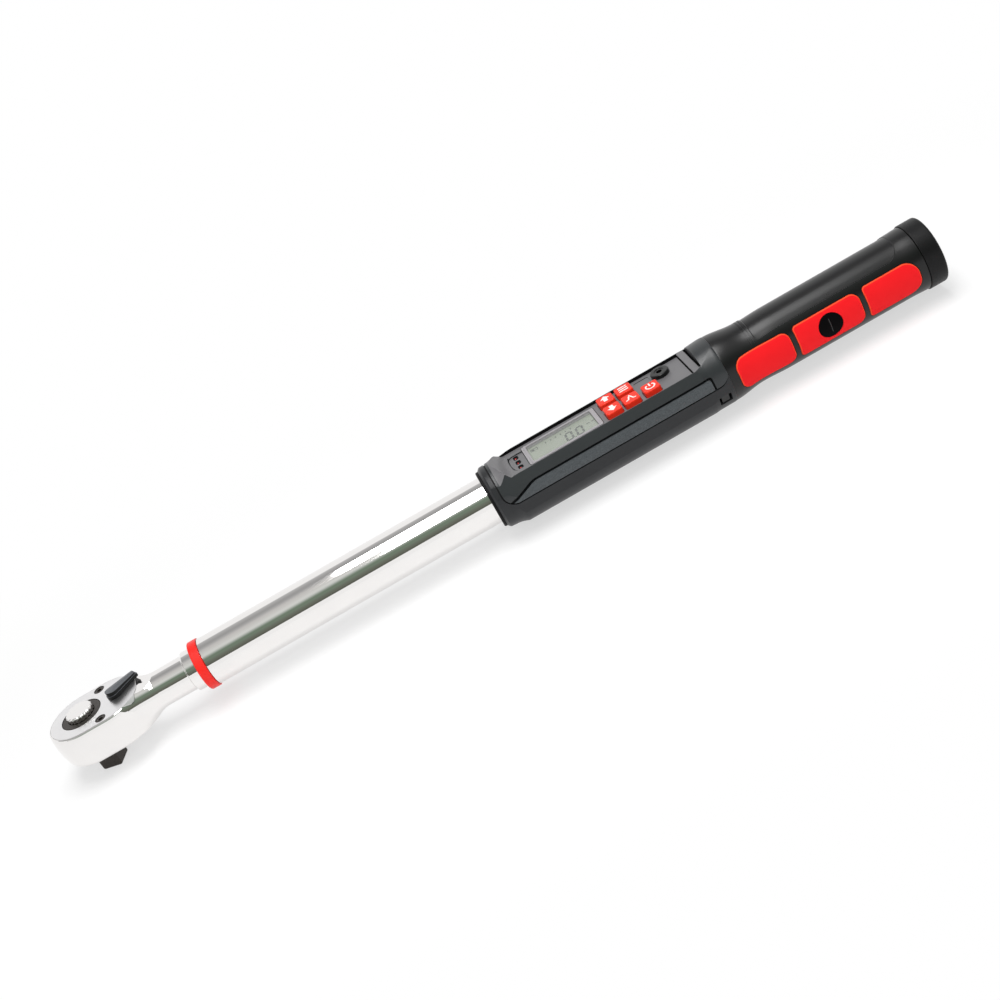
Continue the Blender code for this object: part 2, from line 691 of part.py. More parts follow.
def make_cover_screw(name, spot):
    top = HEAD_TOP - SCREW_SUNK
    profile = [
        (PLATE_SEAT - COVER_SCREW_LENGTH, 0),
        (PLATE_SEAT - COVER_SCREW_LENGTH, COVER_SCREW_RADIUS),
        (top - SCREW_HEAD_HEIGHT, COVER_SCREW_RADIUS),
        (top - SCREW_HEAD_HEIGHT, SCREW_HEAD_RADIUS),
        (top, SCREW_HEAD_RADIUS),
        (top, 0),
    ]
    screw = turned(name, profile, along="Z", location=spot, look="black_steel", steps=SMALL_STEPS)
    hex_low = top - HEX_DEPTH
    carve(screw, rod(f"{name}_hex", HEX_RADIUS, hex_low, top + OVERRUN, along="Z", location=spot, steps=6))


# Drive, ball lock and button


def make_drive_gear():
    low = POCKET_FLOOR + RUN_GAP
    high = PLATE_SEAT - RUN_GAP
    ring = toothed(GEAR_TEETH, GEAR_TIP, GEAR_ROOT)
    gear = prism("drive_gear", ring, low, high, home=DRIVE_AXIS, look="black_steel")
    hubs = [
        (HEAD_BOTTOM - JOURNAL_PROUD, 0),
        (HEAD_BOTTOM - JOURNAL_PROUD, JOURNAL_RADIUS),
        (low + OVERRUN, JOURNAL_RADIUS),
        (low + OVERRUN, HUB_RADIUS),
        (HEAD_TOP, HUB_RADIUS),
        (HEAD_TOP, 0),
    ]
    carve(gear, turned("gear_hubs", hubs, along="Z", home=DRIVE_AXIS), "UNION")
    corners = rounded_rectangle(*centred((0, 0), (DRIVE_SIDE, DRIVE_SIDE)), DRIVE_CORNER)
    square = prism("square_drive", corners, -AXIS_HEIGHT, HEAD_BOTTOM + OVERRUN, home=DRIVE_AXIS)
    carve(gear, soften(square, DRIVE_TIP_EDGE), "UNION")
    pin_floor = BALL_Z - PIN_NOSE - BUTTON_TRAVEL - RUN_GAP
    bore = [
        (pin_floor, 0),
        (pin_floor, PIN_RADIUS + RUN_GAP),
        (SPRING_SEAT, PIN_RADIUS + RUN_GAP),
        (SPRING_SEAT, BUTTON_RADIUS + RUN_GAP),
        (HEAD_TOP + OVERRUN, BUTTON_RADIUS + RUN_GAP),
        (HEAD_TOP + OVERRUN, 0),
    ]
    carve(gear, turned("button_bore", bore, along="Z", home=DRIVE_AXIS))
    ball_hole = rod(
        "ball_hole",
        BALL_RADIUS + RUN_GAP,
        0,
        DRIVE_SIDE / 2 + OVERRUN,
        along="Y",
        home=DRIVE_AXIS,
        location=(0, 0, BALL_Z),
        steps=SMALL_STEPS,
    )
    carve(gear, ball_hole)


def make_release_button():
    serrated = toothed(BUTTON_SERRATIONS, BUTTON_RADIUS, BUTTON_RADIUS - SERRATION_DEPTH)
    button = prism(
        "release_button",
        serrated,
        BUTTON_LOW,
        HEAD_TOP + BUTTON_RAISED,
        home=DRIVE_AXIS,
        look="polished_chrome",
    )
    soften(button, BUTTON_EDGE)
    groove = PIN_RADIUS - BALL_STICKOUT - GROOVE_RELIEF
    ramp_top = BALL_Z + RAMP_LENGTH
    pin = [
        (BALL_Z - PIN_NOSE, 0),
        (BALL_Z - PIN_NOSE, PIN_RADIUS),
        (BALL_Z, PIN_RADIUS),
        (ramp_top, groove),
        (ramp_top + GROOVE_LENGTH, groove),
        (ramp_top + GROOVE_LENGTH, PIN_RADIUS),
        (BUTTON_LOW + OVERRUN, PIN_RADIUS),
        (BUTTON_LOW + OVERRUN, 0),
    ]
    carve(button, turned("button_pin", pin, along="Z", home=DRIVE_AXIS, steps=SMALL_STEPS), "UNION")


def make_ball_lock():
    ends = SEAT_GAP + RELEASE_SPRING_WIRE
    turns = coil(RELEASE_SPRING_RADIUS, SPRING_SEAT + ends, BUTTON_LOW - ends, RELEASE_SPRING_TURNS)
    wire("release_spring", turns, RELEASE_SPRING_WIRE, home=DRIVE_AXIS)
    work = bmesh.new()
    bmesh.ops.create_uvsphere(work, u_segments=SMALL_STEPS, v_segments=SMALL_STEPS // 2, radius=BALL_RADIUS)
    mesh = bpy.data.meshes.new("detent_ball")
    work.to_mesh(mesh)
    work.free()
    place("detent_ball", mesh, DRIVE_AXIS, (0, BALL_CENTRE, BALL_Z))


# Reversing lever and pawl


def make_reversing_lever():
    low = HEAD_TOP + RUN_GAP
    lean = math.degrees(math.asin((LEVER_BASE_RADIUS - LEVER_TIP_RADIUS) / LEVER_LENGTH))
    outline = arc((0, 0), LEVER_BASE_RADIUS, 90 - lean, 270 + lean, 14)
    outline += arc((LEVER_LENGTH, 0), LEVER_TIP_RADIUS, lean - 90, 90 - lean, 8)
    lever = prism("reversing_lever", outline, low, low + LEVER_HEIGHT, home=LEVER_AXIS, look="gunmetal")
    tip = LEVER_LENGTH + LEVER_TIP_RADIUS
    top = low + LEVER_HEIGHT
    fall = [
        (LEVER_BASE_RADIUS, top),
        (tip + OVERRUN, top - LEVER_TIP_DROP),
        (tip + OVERRUN, top + OVERRUN),
        (LEVER_BASE_RADIUS, top + OVERRUN),
    ]
    carve(lever, prism("lever_fall", fall, -REACH, REACH, along="Y", home=LEVER_AXIS))
    soften(lever, LEVER_EDGE)
    foot = POCKET_FLOOR + RUN_GAP
    shaft = rod("lever_shaft", LEVER_SHAFT_RADIUS, foot, low + OVERRUN, along="Z", home=LEVER_AXIS)
    carve(lever, shaft, "UNION")
    bore = rod(
        "plunger_bore",
        PLUNGER_RADIUS + RUN_GAP,
        -LEVER_SHAFT_RADIUS - OVERRUN,
        PLUNGER_BORE_BACK,
        home=LEVER_AXIS,
        steps=SMALL_STEPS,
    )
    carve(lever, bore)


def make_plunger():
    tip = -LEVER_SHAFT_RADIUS - PLUNGER_STICKOUT
    nose = tip + PLUNGER_RADIUS
    back = tip + PLUNGER_LENGTH
    round_nose = [(nose - across, radius) for across, radius in arc((0, 0), PLUNGER_RADIUS, 0, 90, 3)]
    round_nose[0] = (tip, 0)
    profile = round_nose + [(back, PLUNGER_RADIUS), (back, 0)]
    turned("lever_plunger", profile, home=LEVER_AXIS, steps=SMALL_STEPS)
    ends = SEAT_GAP + PLUNGER_SPRING_WIRE
    turns = coil(
        PLUNGER_RADIUS - PLUNGER_SPRING_WIRE,
        back + ends,
        PLUNGER_BORE_BACK - ends,
        PLUNGER_SPRING_TURNS,
        along="X",
    )
    wire("plunger_spring", turns, PLUNGER_SPRING_WIRE, home=LEVER_AXIS)


def make_pawl():
    """A crescent behind the gear whose two ends are cut to mesh with it, one at each throw."""
    centre = (-PAWL_X, 0)
    throat = GEAR_TIP + PAWL_THROAT
    blank_root = GEAR_ROOT - RUN_GAP
    outline = arc(centre, PAWL_BACK, -PAWL_HALF_ANGLE, PAWL_HALF_ANGLE, 8)
    outline += arc(centre, blank_root, PAWL_HALF_ANGLE, PAWL_LAND_ANGLE, 5)
    outline += arc(centre, throat, PAWL_LAND_ANGLE, -PAWL_LAND_ANGLE, 6)
    outline += arc(centre, blank_root, -PAWL_LAND_ANGLE, -PAWL_HALF_ANGLE, 5)
    low = POCKET_FLOOR + RUN_GAP
    high = PLATE_SEAT - RUN_GAP
    pawl = prism("pawl", outline, low, high, home=PAWL_AXIS, look="black_steel")
    mesh_gap = toothed(GEAR_TEETH, GEAR_TIP + RUN_GAP, GEAR_ROOT + RUN_GAP)
    for name, home in (("mesh_at_rest", DRIVE_AXIS), ("mesh_at_other_throw", OTHER_THROW)):
        carve(pawl, prism(name, mesh_gap, low - OVERRUN, high + OVERRUN, home=home))
    swept = LEVER_SHAFT_RADIUS + PLUNGER_STICKOUT + RUN_GAP
    shaft_spot = (LEVER_X - PAWL_X, 0, 0)
    path = rod("plunger_path", swept, low - OVERRUN, high + OVERRUN, "Z", PAWL_AXIS, shaft_spot)
    carve(pawl, path)


# Ring, tube and gauges


def make_barrel():
    sleeve("marker_ring", TUBE_BORE, RING_RADIUS, COLLAR_END, RING_END - SEAT_GAP, look="red_plastic")
    tube = sleeve("barrel_tube", TUBE_BORE, TUBE_RADIUS, RING_END, TUBE_REAR, look="polished_chrome")
    carve(tube, block("board_window", (MILL_FRONT, -REACH, TUBE_MILLED), (STEP_END, REACH, REACH)))


def make_gauges():
    length, thickness, width = GAUGE_SIZE
    middle = (SPIGOT_END + BEAM_END) / 2
    for side, sign in (("left", -1), ("right", 1)):
        near = sign * (BEAM_FLAT + SEAT_GAP)
        far = near + sign * thickness
        low = (middle - length / 2, min(near, far), -width / 2)
        high = (middle + length / 2, max(near, far), width / 2)
        block(f"strain_gauge_{side}", low, high, look="copper_film")
    start = middle + length / 2 + SEAT_GAP
    lead_y = -BEAM_FLAT - SEAT_GAP - LEAD_RADIUS
    board_under = BOARD_LOW - SEAT_GAP - LEAD_RADIUS
    route = [
        (start, lead_y, 0),
        (BEAM_END, lead_y, 0),
        (PLUG_END, lead_y, 0),
        ((PLUG_END + SHELL_FRONT) / 2, lead_y / 2, -LEAD_RADIUS),
        (BOARD_FRONT, lead_y / 2, board_under - LEAD_RADIUS),
        (BOARD_FRONT + BOARD_LEAD, lead_y / 2, board_under),
    ]
    wire("gauge_lead", smooth_route(route), LEAD_RADIUS, look="black_rubber")


# Housing


def housing_outline():
    """Section of the closed housing: round below, straight sides, sloping shoulders."""
    slope = (SHOULDER_HALF - RIM_HALF) / (RIM_Z - SHOULDER_Z)
    top_half = RIM_HALF - slope * (BLANK_TOP - RIM_Z)
    start = math.degrees(math.asin(PARTING_Z / HOUSING_RADIUS))
    below = arc((0, 0), HOUSING_RADIUS, start, -180 - start, 20)
    right = [(top_half, BLANK_TOP), (SHOULDER_HALF, SHOULDER_Z)]
    left = [(-SHOULDER_HALF, SHOULDER_Z), (-top_half, BLANK_TOP)]
    return right + below + left


def housing_envelope(name):
    """Rounds the housing down to the nose ring in front and to the handle behind."""
    front = NOSE_RADIUS + SEAT_GAP
    rise = blend(SHELL_FRONT, SHELL_FRONT + FRONT_TAPER, front, HOUSING_ENVELOPE, 5)
    fall = blend(PANEL_END, SHELL_REAR, HOUSING_ENVELOPE, REAR_RADIUS, 5)
    return turned(name, [(SHELL_FRONT, 0)] + rise + fall + [(SHELL_REAR, 0)])


def top_profile(floor, inset=0.0):
    """Side view of what is scooped from the top: a curved scoop, a floor and a sloped step behind."""
    front = SHELL_FRONT + SCOOP_START + inset
    rear = STEP_END - inset
    scoop = blend(front, SHELL_FRONT + SCOOP_END, SCOOP_TOP, floor)
    step = [(PANEL_END, floor), (rear, floor + REAR_STEP_RISE), (rear, BLANK_TOP + OVERRUN)]
    return scoop + step + [(front, BLANK_TOP + OVERRUN)]


def panel_recess():
    low = PANEL_Z - OVERRUN
    high = BLANK_TOP + 2 * OVERRUN
    low_half = PANEL_HALF + PANEL_WALL_SLOPE * (low - PANEL_Z)
    high_half = PANEL_HALF + PANEL_WALL_SLOPE * (high - PANEL_Z)
    section = [(-low_half, low), (low_half, low), (high_half, high), (-high_half, high)]
    recess = prism("panel_recess", section, SHELL_FRONT, SHELL_REAR, along="X")
    side_view = prism("panel_side_view", top_profile(PANEL_Z, RIM_INSET), -REACH, REACH, along="Y")
    return carve(recess, side_view, "INTERSECT")


def housing_shell(name, half):
    """The upper or lower half of the housing, bored for the tube and for the handle's spigot."""
    shell = prism(name, housing_outline(), SHELL_FRONT, SHELL_REAR, along="X", look="charcoal_plastic")
    carve(shell, housing_envelope(f"{name}_envelope"), "INTERSECT")
    edge = PARTING_Z + half * PARTING_GAP / 2
    low, high = sorted((edge, -half * REACH))
    front = SHELL_FRONT - OVERRUN
    carve(shell, block(f"{name}_split", (front, -REACH, low), (SHELL_REAR + OVERRUN, REACH, high)))
    spigot_room = rod(
        f"{name}_rear_bore",
        REAR_RADIUS - SLEEVE_WALL,
        SHELL_REAR - HANDLE_SPIGOT_LENGTH - SEAT_GAP,
        SHELL_REAR + OVERRUN,
    )
    carve(shell, spigot_room)
    return shell


def tube_bore(name):
    return rod(name, TUBE_RADIUS + SEAT_GAP, SHELL_FRONT - OVERRUN, SHELL_REAR + OVERRUN)


def side_band(name, sign):
    """Shallow panel sunk along the side of the upper shell, for the textured band."""
    low = (SHELL_FRONT + BAND_LEAD, PARTING_Z - REACH)
    high = (SHELL_REAR - BAND_TRAIL, SHOULDER_Z)
    inner, outer = sorted((sign * (SHOULDER_HALF - BAND_DEPTH), sign * REACH))
    return prism(name, rounded_rectangle(low, high, BAND_CORNER, 3), inner, outer, along="Y")


def housing_screw_spots():
    spots = []
    for x in (SHELL_FRONT + SCREW_FROM_FRONT, PANEL_END - SCREW_FROM_PANEL_END):
        spots += [(x, -HOUSING_SCREW_Y, 0), (x, HOUSING_SCREW_Y, 0)]
    return spots


def make_housing_upper():
    upper = housing_shell("housing_upper", 1)
    bore = tube_bore("upper_tube_bore")
    ceiling_low = (MILL_FRONT + SEAT_GAP, -REACH, PANEL_UNDER)
    ceiling_high = (STEP_END - SEAT_GAP, REACH, REACH)
    carve(upper, carve(bore, block("ceiling", ceiling_low, ceiling_high)))
    carve(upper, prism("top_scoop", top_profile(RIM_Z), -REACH, REACH, along="Y"))
    carve(upper, panel_recess())
    for side, sign in (("left", -1), ("right", 1)):
        carve(upper, side_band(f"side_band_{side}", sign))
    cavity_low = (BOARD_FRONT - OVERRUN, -CAVITY_HALF, 0)
    cavity_high = (BOARD_REAR + OVERRUN, CAVITY_HALF, PANEL_UNDER)
    carve(upper, block("board_cavity", cavity_low, cavity_high))
    panel_cut = (PANEL_UNDER - OVERRUN, PANEL_Z + OVERRUN)
    bezel = rounded_rectangle(*centred((BEZEL_X, 0), BEZEL_SIZE, SEAT_GAP), BEZEL_CORNER + SEAT_GAP)
    carve(upper, prism("bezel_opening", bezel, *panel_cut))
    lamp_recess = rounded_rectangle(*centred((LED_X, 0), LED_RECESS), BEZEL_CORNER)
    carve(upper, prism("lamp_recess", lamp_recess, PANEL_Z - LED_RECESS_DEPTH, PANEL_Z + OVERRUN))
    for number, spot in enumerate(led_spots(), 1):
        lamp = LED_RADIUS + SEAT_GAP
        hole = rod(f"lamp_hole_{number}", lamp, *panel_cut, along="Z", location=spot, steps=SMALL_STEPS)
        carve(upper, hole)
    for name, spot in key_spots().items():
        opening = rounded_rectangle(*centred((0, 0), KEY_SIZE, RUN_GAP), KEY_CORNER + RUN_GAP)
        carve(upper, prism(f"{name}_opening", opening, *panel_cut, location=spot))
    jack_spot = (JACK_X, JACK_Y, 0)
    carve(upper, rod("jack_hole", JACK_BODY_RADIUS + SEAT_GAP, *panel_cut, along="Z", location=jack_spot))
    for number, spot in enumerate(housing_screw_spots(), 1):
        pilot = rod(
            f"screw_pilot_{number}",
            HOUSING_SCREW_RADIUS + SEAT_GAP,
            PARTING_Z - OVERRUN,
            HOUSING_SCREW_TOP + SEAT_GAP,
            along="Z",
            location=spot,
            steps=SMALL_STEPS,
        )
        carve(upper, pilot)


def latch_tool(name, sign, size, inner, outer):
    """A radial bar at the latch angle on one side."""
    length, height = size
    x = SHELL_REAR - LATCH_FROM_REAR
    low, high = sorted((sign * inner, sign * outer))
    bar = block(name, (x - length / 2, low, -height / 2), (x + length / 2, high, height / 2))
    turn = Matrix.Rotation(sign * LATCH_ANGLE, 4, "X")
    bar.location = turn @ bar.location
    bar.rotation_euler = turn.to_euler()
    return bar


def make_housing_lower():
    lower = housing_shell("housing_lower", -1)
    carve(lower, tube_bore("lower_tube_bore"))
    for number, spot in enumerate(housing_screw_spots(), 1):
        hole = [
            (-REACH, 0),
            (-REACH, HOUSING_SCREW_HEAD + SEAT_GAP),
            (HOUSING_SCREW_SEAT, HOUSING_SCREW_HEAD + SEAT_GAP),
            (HOUSING_SCREW_SEAT, HOUSING_SCREW_RADIUS + SEAT_GAP),
            (PARTING_Z + OVERRUN, HOUSING_SCREW_RADIUS + SEAT_GAP),
            (PARTING_Z + OVERRUN, 0),
        ]
        carve(lower, turned(f"screw_hole_{number}", hole, along="Z", location=spot, steps=SMALL_STEPS))
        make_housing_screw(f"housing_screw_{number}", spot)
    window = [side + 2 * SEAT_GAP for side in LATCH_SIZE]
    for side, sign in (("left", -1), ("right", 1)):
        carve(lower, latch_tool(f"latch_window_{side}", sign, window, TUBE_RADIUS, REACH))


def make_housing_screw(name, spot):
    seat = HOUSING_SCREW_SEAT - SEAT_GAP
    under = seat - HOUSING_SCREW_HEAD_HEIGHT
    profile = [
        (under, 0),
        (under, HOUSING_SCREW_HEAD),
        (seat, HOUSING_SCREW_HEAD),
        (seat, HOUSING_SCREW_RADIUS),
        (HOUSING_SCREW_TOP, HOUSING_SCREW_RADIUS),
        (HOUSING_SCREW_TOP, 0),
    ]
    turned(name, profile, along="Z", location=spot, look="black_steel", steps=SMALL_STEPS)


def make_housing_front():
    bore = TUBE_RADIUS + SEAT_GAP
    sleeve("front_seal", bore, SEAL_RADIUS, SEAL_FRONT, NOSE_FRONT - SEAT_GAP, look="black_rubber")
    nose = [
        (NOSE_FRONT, bore),
        (NOSE_FRONT, NOSE_RADIUS - NOSE_EDGE),
        (NOSE_FRONT + NOSE_EDGE, NOSE_RADIUS),
        (SHELL_FRONT - SEAT_GAP, NOSE_RADIUS),
        (SHELL_FRONT - SEAT_GAP, bore),
    ]
    turned("nose_ring", nose, look="charcoal_plastic")


# Board, display, lamps, keys and jack


def led_spots():
    return [(LED_X, LED_PITCH * step, 0) for step in (-1, 0, 1)]


def key_spots():
    return {
        "key_up": (KEY_X, KEY_ROW_Y, 0),
        "key_down": (KEY_X, -KEY_ROW_Y, 0),
        "key_mode": (KEY_X + KEY_PITCH, KEY_ROW_Y, 0),
        "key_peak": (KEY_X + KEY_PITCH, -KEY_ROW_Y, 0),
        "key_power": (POWER_X, -KEY_ROW_Y, 0),
    }


def make_display():
    bezel_low = PANEL_UNDER
    outline = rounded_rectangle(*centred((BEZEL_X, 0), BEZEL_SIZE), BEZEL_CORNER)
    bezel = prism("display_bezel", outline, bezel_low, PANEL_Z + BEZEL_PROUD, look="grey_plastic")
    opening = rounded_rectangle(*centred((BEZEL_X, 0), WINDOW_SIZE, SEAT_GAP), BEZEL_CORNER / 2 + SEAT_GAP)
    carve(bezel, prism("window_opening", opening, bezel_low - OVERRUN, PANEL_Z + OVERRUN))
    pane = rounded_rectangle(*centred((BEZEL_X, 0), WINDOW_SIZE), BEZEL_CORNER / 2)
    prism("display_window", pane, bezel_low, bezel_low + WINDOW_THICKNESS, look="display_glass")
    low, high = centred((BEZEL_X, 0), WINDOW_SIZE, LCD_MARGIN)
    block("lcd_module", (*low, BOARD_TOP + SEAT_GAP), (*high, bezel_low - SEAT_GAP), look="display_cell")


def make_board():
    low = (BOARD_FRONT, -BOARD_HALF, BOARD_LOW)
    high = (BOARD_REAR, BOARD_HALF, BOARD_TOP)
    block("circuit_board", low, high, look="board_green")
    foot = BOARD_TOP + SEAT_GAP
    spot = (JACK_X + BUZZER_SPOT[0], BUZZER_SPOT[1], 0)
    top = foot + BUZZER_HEIGHT
    moulded = {"look": "black_plastic", "steps": INNER_STEPS}
    rod("buzzer", BUZZER_RADIUS, foot, top, along="Z", location=spot, **moulded)
    for number, spot in enumerate(led_spots(), 1):
        make_led(f"indicator_led_{number}", foot, spot)
    flange = PANEL_Z + SEAT_GAP
    jack = [
        (foot, JACK_BORE_RADIUS),
        (foot, JACK_BODY_RADIUS),
        (flange, JACK_BODY_RADIUS),
        (flange, JACK_RADIUS),
        (flange + JACK_RAISED - JACK_EDGE, JACK_RADIUS),
        (flange + JACK_RAISED, JACK_RADIUS - JACK_EDGE),
        (flange + JACK_RAISED, JACK_BORE_RADIUS),
    ]
    turned("data_jack", jack, along="Z", location=(JACK_X, JACK_Y, 0), **moulded)


def make_led(name, foot, spot):
    shoulder = PANEL_Z - LED_RECESS_DEPTH - SEAT_GAP
    dome = [(shoulder + rise / 2, radius) for radius, rise in arc((0, 0), LED_RADIUS, 0, 90, 3)]
    profile = [(foot, 0), (foot, LED_RADIUS)] + dome[:-1] + [(shoulder + LED_RADIUS / 2, 0)]
    turned(name, profile, along="Z", location=spot, look="lamp_red", steps=SMALL_STEPS)


def make_keys():
    flange_top = PANEL_UNDER - SEAT_GAP
    flange_low = flange_top - KEY_FLANGE_THICKNESS
    stem_low = BOARD_TOP + RUN_GAP + KEY_TRAVEL
    for name, spot in key_spots().items():
        cap = rounded_rectangle(*centred((0, 0), KEY_SIZE), KEY_CORNER)
        root = flange_top - KEY_OVERLAP
        key = prism(name, cap, root, PANEL_Z + KEY_RAISED, location=spot, look="red_plastic")
        soften(key, KEY_EDGE)
        base = rounded_rectangle(*centred((0, 0), KEY_SIZE, KEY_FLANGE), KEY_CORNER)
        carve(key, prism(f"{name}_flange", base, flange_low, flange_top, location=spot), "UNION")
        low, high = centred(spot[:2], (KEY_STEM, KEY_STEM))
        stem = block(f"{name}_stem", (*low, stem_low), (*high, flange_low + KEY_OVERLAP))
        carve(key, stem, "UNION")


# Handle, pads, cells and end cap


def handle_profile(offset, front=HANDLE_FRONT, rear=HANDLE_REAR):
    """Outer line of the handle as (place, radius) points, moved out by offset."""
    waist = HANDLE_FRONT + WAIST_OFFSET
    line = blend(HANDLE_FRONT, waist, HANDLE_FRONT_RADIUS, WAIST_RADIUS, 4)
    line += blend(waist, HANDLE_FRONT + GRIP_OFFSET, WAIST_RADIUS, GRIP_RADIUS, 3)[1:]
    line += blend(HANDLE_REAR - FLARE_LENGTH, HANDLE_REAR, GRIP_RADIUS, HANDLE_REAR_RADIUS, 2)
    line[0] = (front, line[0][1])
    line[-1] = (rear, line[-1][1])
    return [(x, radius + offset) for x, radius in line]


def handle_layer(name, inside, outside):
    """A turned layer that follows the handle's outer line, from inside to outside of it."""
    front = HANDLE_FRONT - OVERRUN
    rear = HANDLE_REAR + OVERRUN
    outer = handle_profile(outside, front, rear)
    inner = handle_profile(inside, front, rear)
    return turned(name, outer + inner[::-1])


def pad_outline(number, grow=0.0):
    front = PAD_FRONTS[number]
    rear = front + PAD_LENGTHS[number]
    low = (front - grow, PAD_LOW - grow)
    high = (rear + grow, PAD_HIGH + grow)
    return rounded_rectangle(low, high, PAD_CORNER + grow)


def disc_outline(grow=0.0):
    middle = (PAD_FRONTS[1] + PAD_LENGTHS[1] / 2, (PAD_LOW + PAD_HIGH) / 2)
    return circle(middle, DISC_RADIUS + grow, DISC_STEPS)


def make_grip_pads(handle):
    for side, span in (("left", (-REACH, 0)), ("right", (0, REACH))):
        for number, place_name in enumerate(("front", "middle", "rear")):
            name = f"grip_pad_{side}_{place_name}"
            recess = prism(f"{name}_recess", pad_outline(number, SEAT_GAP), *span, along="Y")
            recess_layer = handle_layer(f"{name}_recess_layer", -PAD_DEPTH, REACH)
            carve(handle, carve(recess, recess_layer, "INTERSECT"))
            pad = prism(name, pad_outline(number), *span, along="Y", look="red_rubber")
            carve(pad, handle_layer(f"{name}_layer", SEAT_GAP - PAD_DEPTH, PAD_PROUD), "INTERSECT")
            if place_name == "middle":
                carve(pad, prism(f"disc_hole_{side}", disc_outline(SEAT_GAP), *span, along="Y"))
        disc = prism(f"load_point_{side}", disc_outline(), *span, along="Y", look="black_plastic")
        carve(disc, handle_layer(f"disc_layer_{side}", SEAT_GAP - PAD_DEPTH, DISC_PROUD), "INTERSECT")


def make_handle():
    bore = TUBE_RADIUS + SEAT_GAP
    spigot = REAR_RADIUS - SLEEVE_WALL - SEAT_GAP
    spigot_front = SHELL_REAR - HANDLE_SPIGOT_LENGTH
    profile = [(spigot_front, bore), (spigot_front, spigot), (HANDLE_FRONT, spigot)]
    profile += handle_profile(0) + [(HANDLE_REAR, bore)]
    handle = turned("handle_body", profile, look="black_plastic")
    ridge_low = (HANDLE_FRONT + RIDGE_LEAD, -RIDGE_HALF)
    ridge_high = (HANDLE_REAR - RIDGE_TRAIL, RIDGE_HALF)
    ridge = prism("top_ridge", rounded_rectangle(ridge_low, ridge_high, RIDGE_CORNER, 4), 0, REACH)
    carve(ridge, handle_layer("ridge_layer", -RIDGE_ROOT, RIDGE_PROUD), "INTERSECT")
    carve(handle, ridge, "UNION")
    for side, sign in (("left", -1), ("right", 1)):
        reach = (spigot - RIDGE_ROOT, HOUSING_RADIUS - LATCH_SUNK)
        carve(handle, latch_tool(f"latch_tongue_{side}", sign, LATCH_SIZE, *reach), "UNION")
    make_grip_pads(handle)


def make_cells():
    fit = TUBE_BORE - SEAT_GAP
    room = CELL_RADIUS + SEAT_GAP
    liner = [
        (LINER_FRONT, LINER_HOLE),
        (LINER_FRONT, fit),
        (CAP_SPIGOT_FRONT - SEAT_GAP, fit),
        (CAP_SPIGOT_FRONT - SEAT_GAP, room),
        (LINER_INSIDE, room),
        (LINER_INSIDE, LINER_HOLE),
    ]
    turned("battery_liner", liner, look="black_plastic", steps=INNER_STEPS)
    plate_radius, plate_thickness = CONTACT_PLATE
    plate_front = LINER_INSIDE + SEAT_GAP
    rod("front_contact", plate_radius, plate_front, plate_front + plate_thickness, steps=INNER_STEPS)
    nub_radius, nub_height = CELL_BUTTON
    for name, end in (("battery_front", REAR_CELL_END - CELL_PITCH), ("battery_rear", REAR_CELL_END)):
        can = end - CELL_LENGTH
        cell = [
            (can - nub_height, 0),
            (can - nub_height, nub_radius),
            (can, nub_radius),
            (can, CELL_RADIUS - CELL_EDGE),
            (can + CELL_EDGE, CELL_RADIUS),
            (end, CELL_RADIUS),
            (end, 0),
        ]
        turned(name, cell, look="cell_jacket", steps=INNER_STEPS)
    ends = SEAT_GAP + CONTACT_SPRING_WIRE
    low = REAR_CELL_END + ends
    high = CAP_SPIGOT_FRONT - ends
    turns = coil(CONTACT_SPRING_RADIUS, low, high, CONTACT_SPRING_TURNS, along="X")
    wire("contact_spring", turns, CONTACT_SPRING_WIRE)
    lead_top = BOARD_LOW - SEAT_GAP - LEAD_RADIUS
    route = [
        (plate_front - SEAT_GAP, 0, 0),
        (LINER_FRONT - LINER_WALL, 0, 0),
        ((LINER_FRONT + BOARD_REAR) / 2, 0, lead_top / 2),
        (BOARD_REAR - BOARD_TRAIL / 2, 0, lead_top),
    ]
    wire("battery_lead", smooth_route(route), LEAD_RADIUS, look="black_rubber")


def make_end_cap():
    fit = TUBE_BORE - RUN_GAP
    end = CAP_FRONT + CAP_LENGTH
    cap = [
        (CAP_SPIGOT_FRONT, 0),
        (CAP_SPIGOT_FRONT, fit),
        (CAP_FRONT, fit),
        (CAP_FRONT, CAP_RADIUS),
        (end - CAP_EDGE, CAP_RADIUS),
        (end, CAP_RADIUS - CAP_EDGE),
        (end, CAP_RADIUS - CAP_RIM),
        (end - CAP_DISH, CAP_RADIUS - CAP_RIM - CAP_DISH),
        (end - CAP_DISH, 0),
    ]
    turned("end_cap", cap, look="black_plastic")
    middle = (fit + SEAT_GAP + CAP_SEAL_WIRE, (TUBE_REAR + CAP_FRONT) / 2)
    section = [(along, radius) for radius, along in circle(middle, CAP_SEAL_WIRE, 6)]
    turned("cap_seal", section, look="black_rubber", steps=INNER_STEPS)


make_ratchet_head()
make_head_cover()
make_drive_gear()
make_release_button()
make_ball_lock()
make_reversing_lever()
make_plunger()
make_pawl()
make_barrel()
make_gauges()
make_housing_front()
make_housing_upper()
make_housing_lower()
make_display()
make_board()
make_keys()
make_handle()
make_cells()
make_end_cap()
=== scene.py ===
"""The looks of an electronic torque wrench: fine surfaces, finishes, studio and camera.

Shapes are worked in millimetres from the wrench's long axis, with X from the drive towards the
handle, and are brought into the frame's metres when a piece is finished.
"""

import json
import math

import bmesh
import bpy
from mathutils import Matrix, Vector

